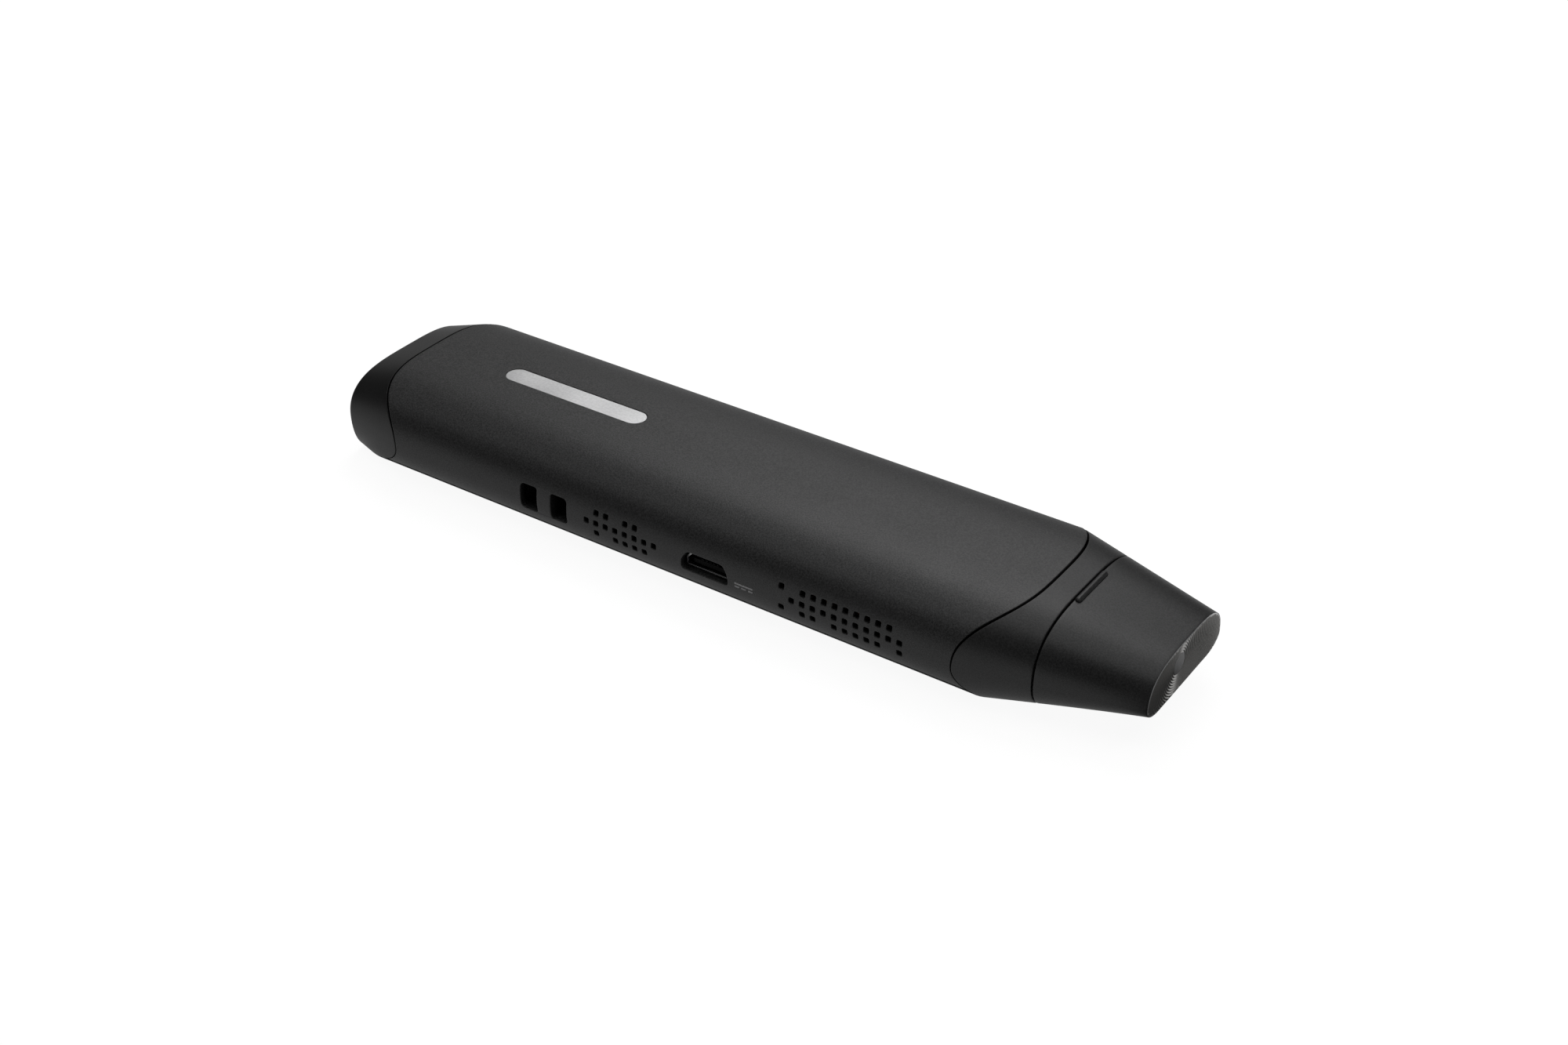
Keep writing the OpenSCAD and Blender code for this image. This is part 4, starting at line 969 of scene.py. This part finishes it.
def build_strap_bar():
    low, high = (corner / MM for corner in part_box("strap_bar"))
    middle, half = (low.x + high.x) / 2, (high.x - low.x) / 2
    z0, z1 = SIDE_Z - STRAP_SIZE[1] / 2, SIDE_Z + STRAP_SIZE[1] / 2
    plain = (z0 + BAR_FLARE, z1 - BAR_FLARE)
    heights = joined(steps(z0, plain[0], BAR_FINE), steps(*plain, BAR_COARSE), steps(plain[1], z1, BAR_FINE))
    rings = []
    for z in [z0 - BAR_OVER] + heights + [z1 + BAR_OVER]:
        bend = min(BAR_FLARE, max(0.0, BAR_FLARE - min(z - z0, z1 - z)))
        wide = half + BAR_FLARE - math.sqrt(BAR_FLARE ** 2 - bend ** 2)
        face = BAR_SINK - half_width(z, PRISM)
        left = [(middle - wide + across, face + sink, z) for across, sink in BAR_TURN]
        right = [(middle + wide - across, face + sink, z) for across, sink in reversed(BAR_TURN)]
        rings.append(left + right + [(middle + wide, high.y, z), (middle - wide, high.y, z)])
    skin = Skin()
    first, last = skin.tube(rings)
    for row, ring in ((first, rings[0]), (last, rings[-1])):
        skin.fan(row, (middle, (low.y + high.y) / 2, ring[0][2]))
    return skin.make("strap_bar_skin", "chassis", SHELL, "shell", ["strap_bar"])


# Direct-current sign beside the inlet: a line over dashes half a dash apart, printed on the near side.
MARK_X = (7.76, 10.86)
MARK_LINE_Z = 6.22
MARK_DASH_Z = 5.68
MARK_DASHES = 3
MARK_DASH_PITCH = 1.5
MARK_T = 0.24
MARK_PROUD = 0.012


def build_mark():
    skin = Skin()
    dash = (MARK_X[1] - MARK_X[0]) / (1 + (MARK_DASHES - 1) * MARK_DASH_PITCH)
    starts = [MARK_X[0] + k * MARK_DASH_PITCH * dash for k in range(MARK_DASHES)]
    bars = [(*MARK_X, MARK_LINE_Z)] + [(x, x + dash, MARK_DASH_Z) for x in starts]
    for x0, x1, z in bars:
        spots = [(x0, z - MARK_T / 2), (x1, z - MARK_T / 2), (x1, z + MARK_T / 2), (x0, z + MARK_T / 2)]
        top = skin.row([(x, -half_width(h, PRISM) - MARK_PROUD, h) for x, h in spots])
        base = skin.row([(x, -half_width(h, PRISM) + MARK_PROUD, h) for x, h in spots])
        skin.faces += [tuple(top), tuple(base[::-1])]
        skin.band(base, top)
    return skin.make("inlet_sign", "chassis", PRINT, smooth=False)


def mix_shaders(tree, share, no, yes):
    mix = tree.nodes.new("ShaderNodeMixShader")
    tree.links.new(share, mix.inputs["Fac"])
    tree.links.new(no, mix.inputs[1])
    tree.links.new(yes, mix.inputs[2])
    return mix.outputs["Shader"]


# Floor: pale, white to the camera, and it keeps the object's shadow. Its sizes are in metres.
FLOOR_SIZE = 8.0
FLOOR_GAP = 0.00005
FLOOR_WHITE = 0.93
FLOOR_GLOSS = 0.42
FLOOR_TINT = 0.4
SHADOW_TINT = 0.2

# To shiny pieces the floor has a painted shadow past the cap's end: a dim patch that stands in for the cap's
# shadow in reflections and darkens most of the end plate's walls.
PAINTED_SHADOW_TINT = 0.01
PAINTED_SHADOW_START = (0.066, 0.07)
PAINTED_SHADOW_FADE = (0.072, 0.092, 0.92, 0.86)
PAINTED_SHADOW_ACROSS = (-0.5, 1.0, 0.0)
PAINTED_SHADOW_BACK = (-0.0325, -0.0255)


def painted_shadow_patch(tree):
    """How strongly the floor's painted shadow darkens each place, from 0 to 1."""
    def ranged(value, start, end, first, last):
        node = tree.nodes.new("ShaderNodeMapRange")
        node.interpolation_type = "SMOOTHSTEP"
        tree.links.new(value, node.inputs["Value"])
        for key, number in (("From Min", start), ("From Max", end), ("To Min", first), ("To Max", last)):
            node.inputs[key].default_value = number
        return node.outputs["Result"]

    def product(a, b):
        node = tree.nodes.new("ShaderNodeMath")
        node.operation = "MULTIPLY"
        tree.links.new(a, node.inputs[0])
        tree.links.new(b, node.inputs[1])
        return node.outputs["Value"]

    place = tree.nodes.new("ShaderNodeTexCoord")
    split = tree.nodes.new("ShaderNodeSeparateXYZ")
    tree.links.new(place.outputs["Object"], split.inputs["Vector"])
    slant = tree.nodes.new("ShaderNodeVectorMath")
    slant.operation = "DOT_PRODUCT"
    tree.links.new(place.outputs["Object"], slant.inputs[0])
    slant.inputs[1].default_value = PAINTED_SHADOW_ACROSS
    x, across = split.outputs["X"], slant.outputs["Value"]
    along = product(ranged(x, *PAINTED_SHADOW_START, 0.0, 1.0), ranged(x, *PAINTED_SHADOW_FADE))
    return product(along, ranged(across, *PAINTED_SHADOW_BACK, 1.0, 0.0))


def pale_floor():
    m = bpy.data.materials.new("pale_floor")
    m.use_nodes = True
    tree = m.node_tree
    tree.nodes.remove(tree.nodes["Principled BSDF"])
    path = tree.nodes.new("ShaderNodeLightPath")

    def matt(tint):
        node = tree.nodes.new("ShaderNodeBsdfDiffuse")
        node.inputs["Color"].default_value = (tint, tint, tint, 1)
        return node.outputs["BSDF"]

    def glowing(strength, tint):
        glow = tree.nodes.new("ShaderNodeEmission")
        glow.inputs["Strength"].default_value = strength
        both = tree.nodes.new("ShaderNodeAddShader")
        tree.links.new(matt(tint), both.inputs[0])
        tree.links.new(glow.outputs["Emission"], both.inputs[1])
        return both.outputs["Shader"]

    # Glossy rays see the floor's glow, except in the painted shadow, where they see a dark matt patch in place
    # of the cap's shadow.
    reflected_with_painted_shadow = mix_shaders(tree, painted_shadow_patch(tree), glowing(FLOOR_GLOSS, FLOOR_TINT), matt(PAINTED_SHADOW_TINT))
    white = glowing(FLOOR_WHITE, SHADOW_TINT)
    surface = matt(FLOOR_TINT)
    for ray, look in (("Is Glossy Ray", reflected_with_painted_shadow), ("Is Transmission Ray", white), ("Is Camera Ray", white)):
        surface = mix_shaders(tree, path.outputs[ray], surface, look)
    tree.links.new(surface, tree.nodes["Material Output"].inputs["Surface"])
    return m


def build_floor():
    mesh = bpy.data.meshes.new("floor")
    h = FLOOR_SIZE / 2
    mesh.from_pydata([(-h, -h, 0), (h, -h, 0), (h, h, 0), (-h, h, 0)], [], [(0, 1, 2, 3)])
    mesh.materials.append(pale_floor())
    floor = bpy.data.objects.new("floor", mesh)
    bpy.context.scene.collection.objects.link(floor)
    floor.location.z = CAD_BOX[0].z - FLOOR_GAP


# World: white to the camera and through clear parts, dim in reflections, nearly dark as a lamp.
WORLD_WHITE = 1.0
WORLD_GLOSS = 0.1
WORLD_DIM = 0.01


def build_world():
    world = bpy.data.worlds.new("studio")
    world.use_nodes = True
    bpy.context.scene.world = world
    tree = world.node_tree
    path = tree.nodes.new("ShaderNodeLightPath")

    def glowing(node, strength):
        node.inputs["Color"].default_value = (1, 1, 1, 1)
        node.inputs["Strength"].default_value = strength
        return node.outputs["Background"]

    sky = glowing(tree.nodes["Background"], WORLD_DIM)
    for ray, strength in (("Is Glossy Ray", WORLD_GLOSS), ("Is Transmission Ray", WORLD_WHITE),
                          ("Is Camera Ray", WORLD_WHITE)):
        glow = glowing(tree.nodes.new("ShaderNodeBackground"), strength)
        sky = mix_shaders(tree, path.outputs[ray], sky, glow)
    tree.links.new(sky, tree.nodes["World Output"].inputs["Surface"])


# Lamps, each with its place and size in metres and its power in watts.
LAMPS = {
    "back_high": ((-0.16, 0.37, 0.55), (0.4, 0.35), 1.22),
    "back_middle": ((-0.17, 0.42, 0.3), (0.3, 0.2), 0.07),
    "back_low": ((-0.617, 0.617, 0.218), (0.62, 0.42), 0.15),
    "left_front": ((-0.32, -0.32, 0.78), (0.6, 0.42), 0.54),
    "overhead": ((0.0, -0.03, 0.9), (0.6, 0.6), 1.04),
    "right_back": ((0.28, 0.16, 0.4), (0.2, 0.2), 0.2),
    "right_front": ((0.43, -0.13, 0.2), (0.15, 0.15), 0.1),
}


def softbox(name, spot, size, power):
    """A rectangular area lamp that faces the object."""
    lamp = bpy.data.lights.new(name, "AREA")
    lamp.shape = "RECTANGLE"
    lamp.size, lamp.size_y = size
    lamp.energy = power
    light = bpy.data.objects.new(name, lamp)
    bpy.context.scene.collection.objects.link(light)
    light.location = spot
    light.rotation_mode = "QUATERNION"
    light.rotation_quaternion = (-Vector(spot)).to_track_quat("-Z", "Y")


# Camera: degrees, and millimetres for its distance, offset, lens and sensor; its clip range is in metres.
CAMERA_AZIMUTH = 34.356330
CAMERA_ELEVATION = 33.273621
CAMERA_DISTANCE = 324.5231
CAMERA_OFFSET = (-3.7826, -3.5756)
CAMERA_LENS = 49.9914
CAMERA_SENSOR = 36.0
CAMERA_CLIP = (0.01, 50.0)


def build_camera():
    a, e = math.radians(CAMERA_AZIMUTH), math.radians(CAMERA_ELEVATION)
    look = Vector((-math.sin(a) * math.cos(e), math.cos(a) * math.cos(e), -math.sin(e)))
    right = Vector((math.cos(a), math.sin(a), 0.0))
    up = right.cross(look)
    spot = (-CAMERA_OFFSET[0] * right - CAMERA_OFFSET[1] * up - CAMERA_DISTANCE * look) * MM
    camera = bpy.data.cameras.new("camera")
    camera.sensor_fit, camera.sensor_width, camera.lens = "HORIZONTAL", CAMERA_SENSOR, CAMERA_LENS
    camera.clip_start, camera.clip_end = CAMERA_CLIP
    eye = bpy.data.objects.new("camera", camera)
    bpy.context.scene.collection.objects.link(eye)
    eye.matrix_world = Matrix.Translation(spot) @ Matrix((right, up, -look)).transposed().to_4x4()
    bpy.context.scene.camera = eye


for entry in frame["record"]["subparts"]:
    dress(entry["node"], entry["material_slot"])
build_shell()
build_cover()
build_collar()
build_bezel()
build_cap()
build_rib()
build_end_plate()
build_strap_bar()
build_mark()
build_floor()
build_world()
for lamp_name, settings in LAMPS.items():
    softbox(lamp_name, *settings)
build_camera()
bpy.context.scene.view_settings.view_transform = "Standard"
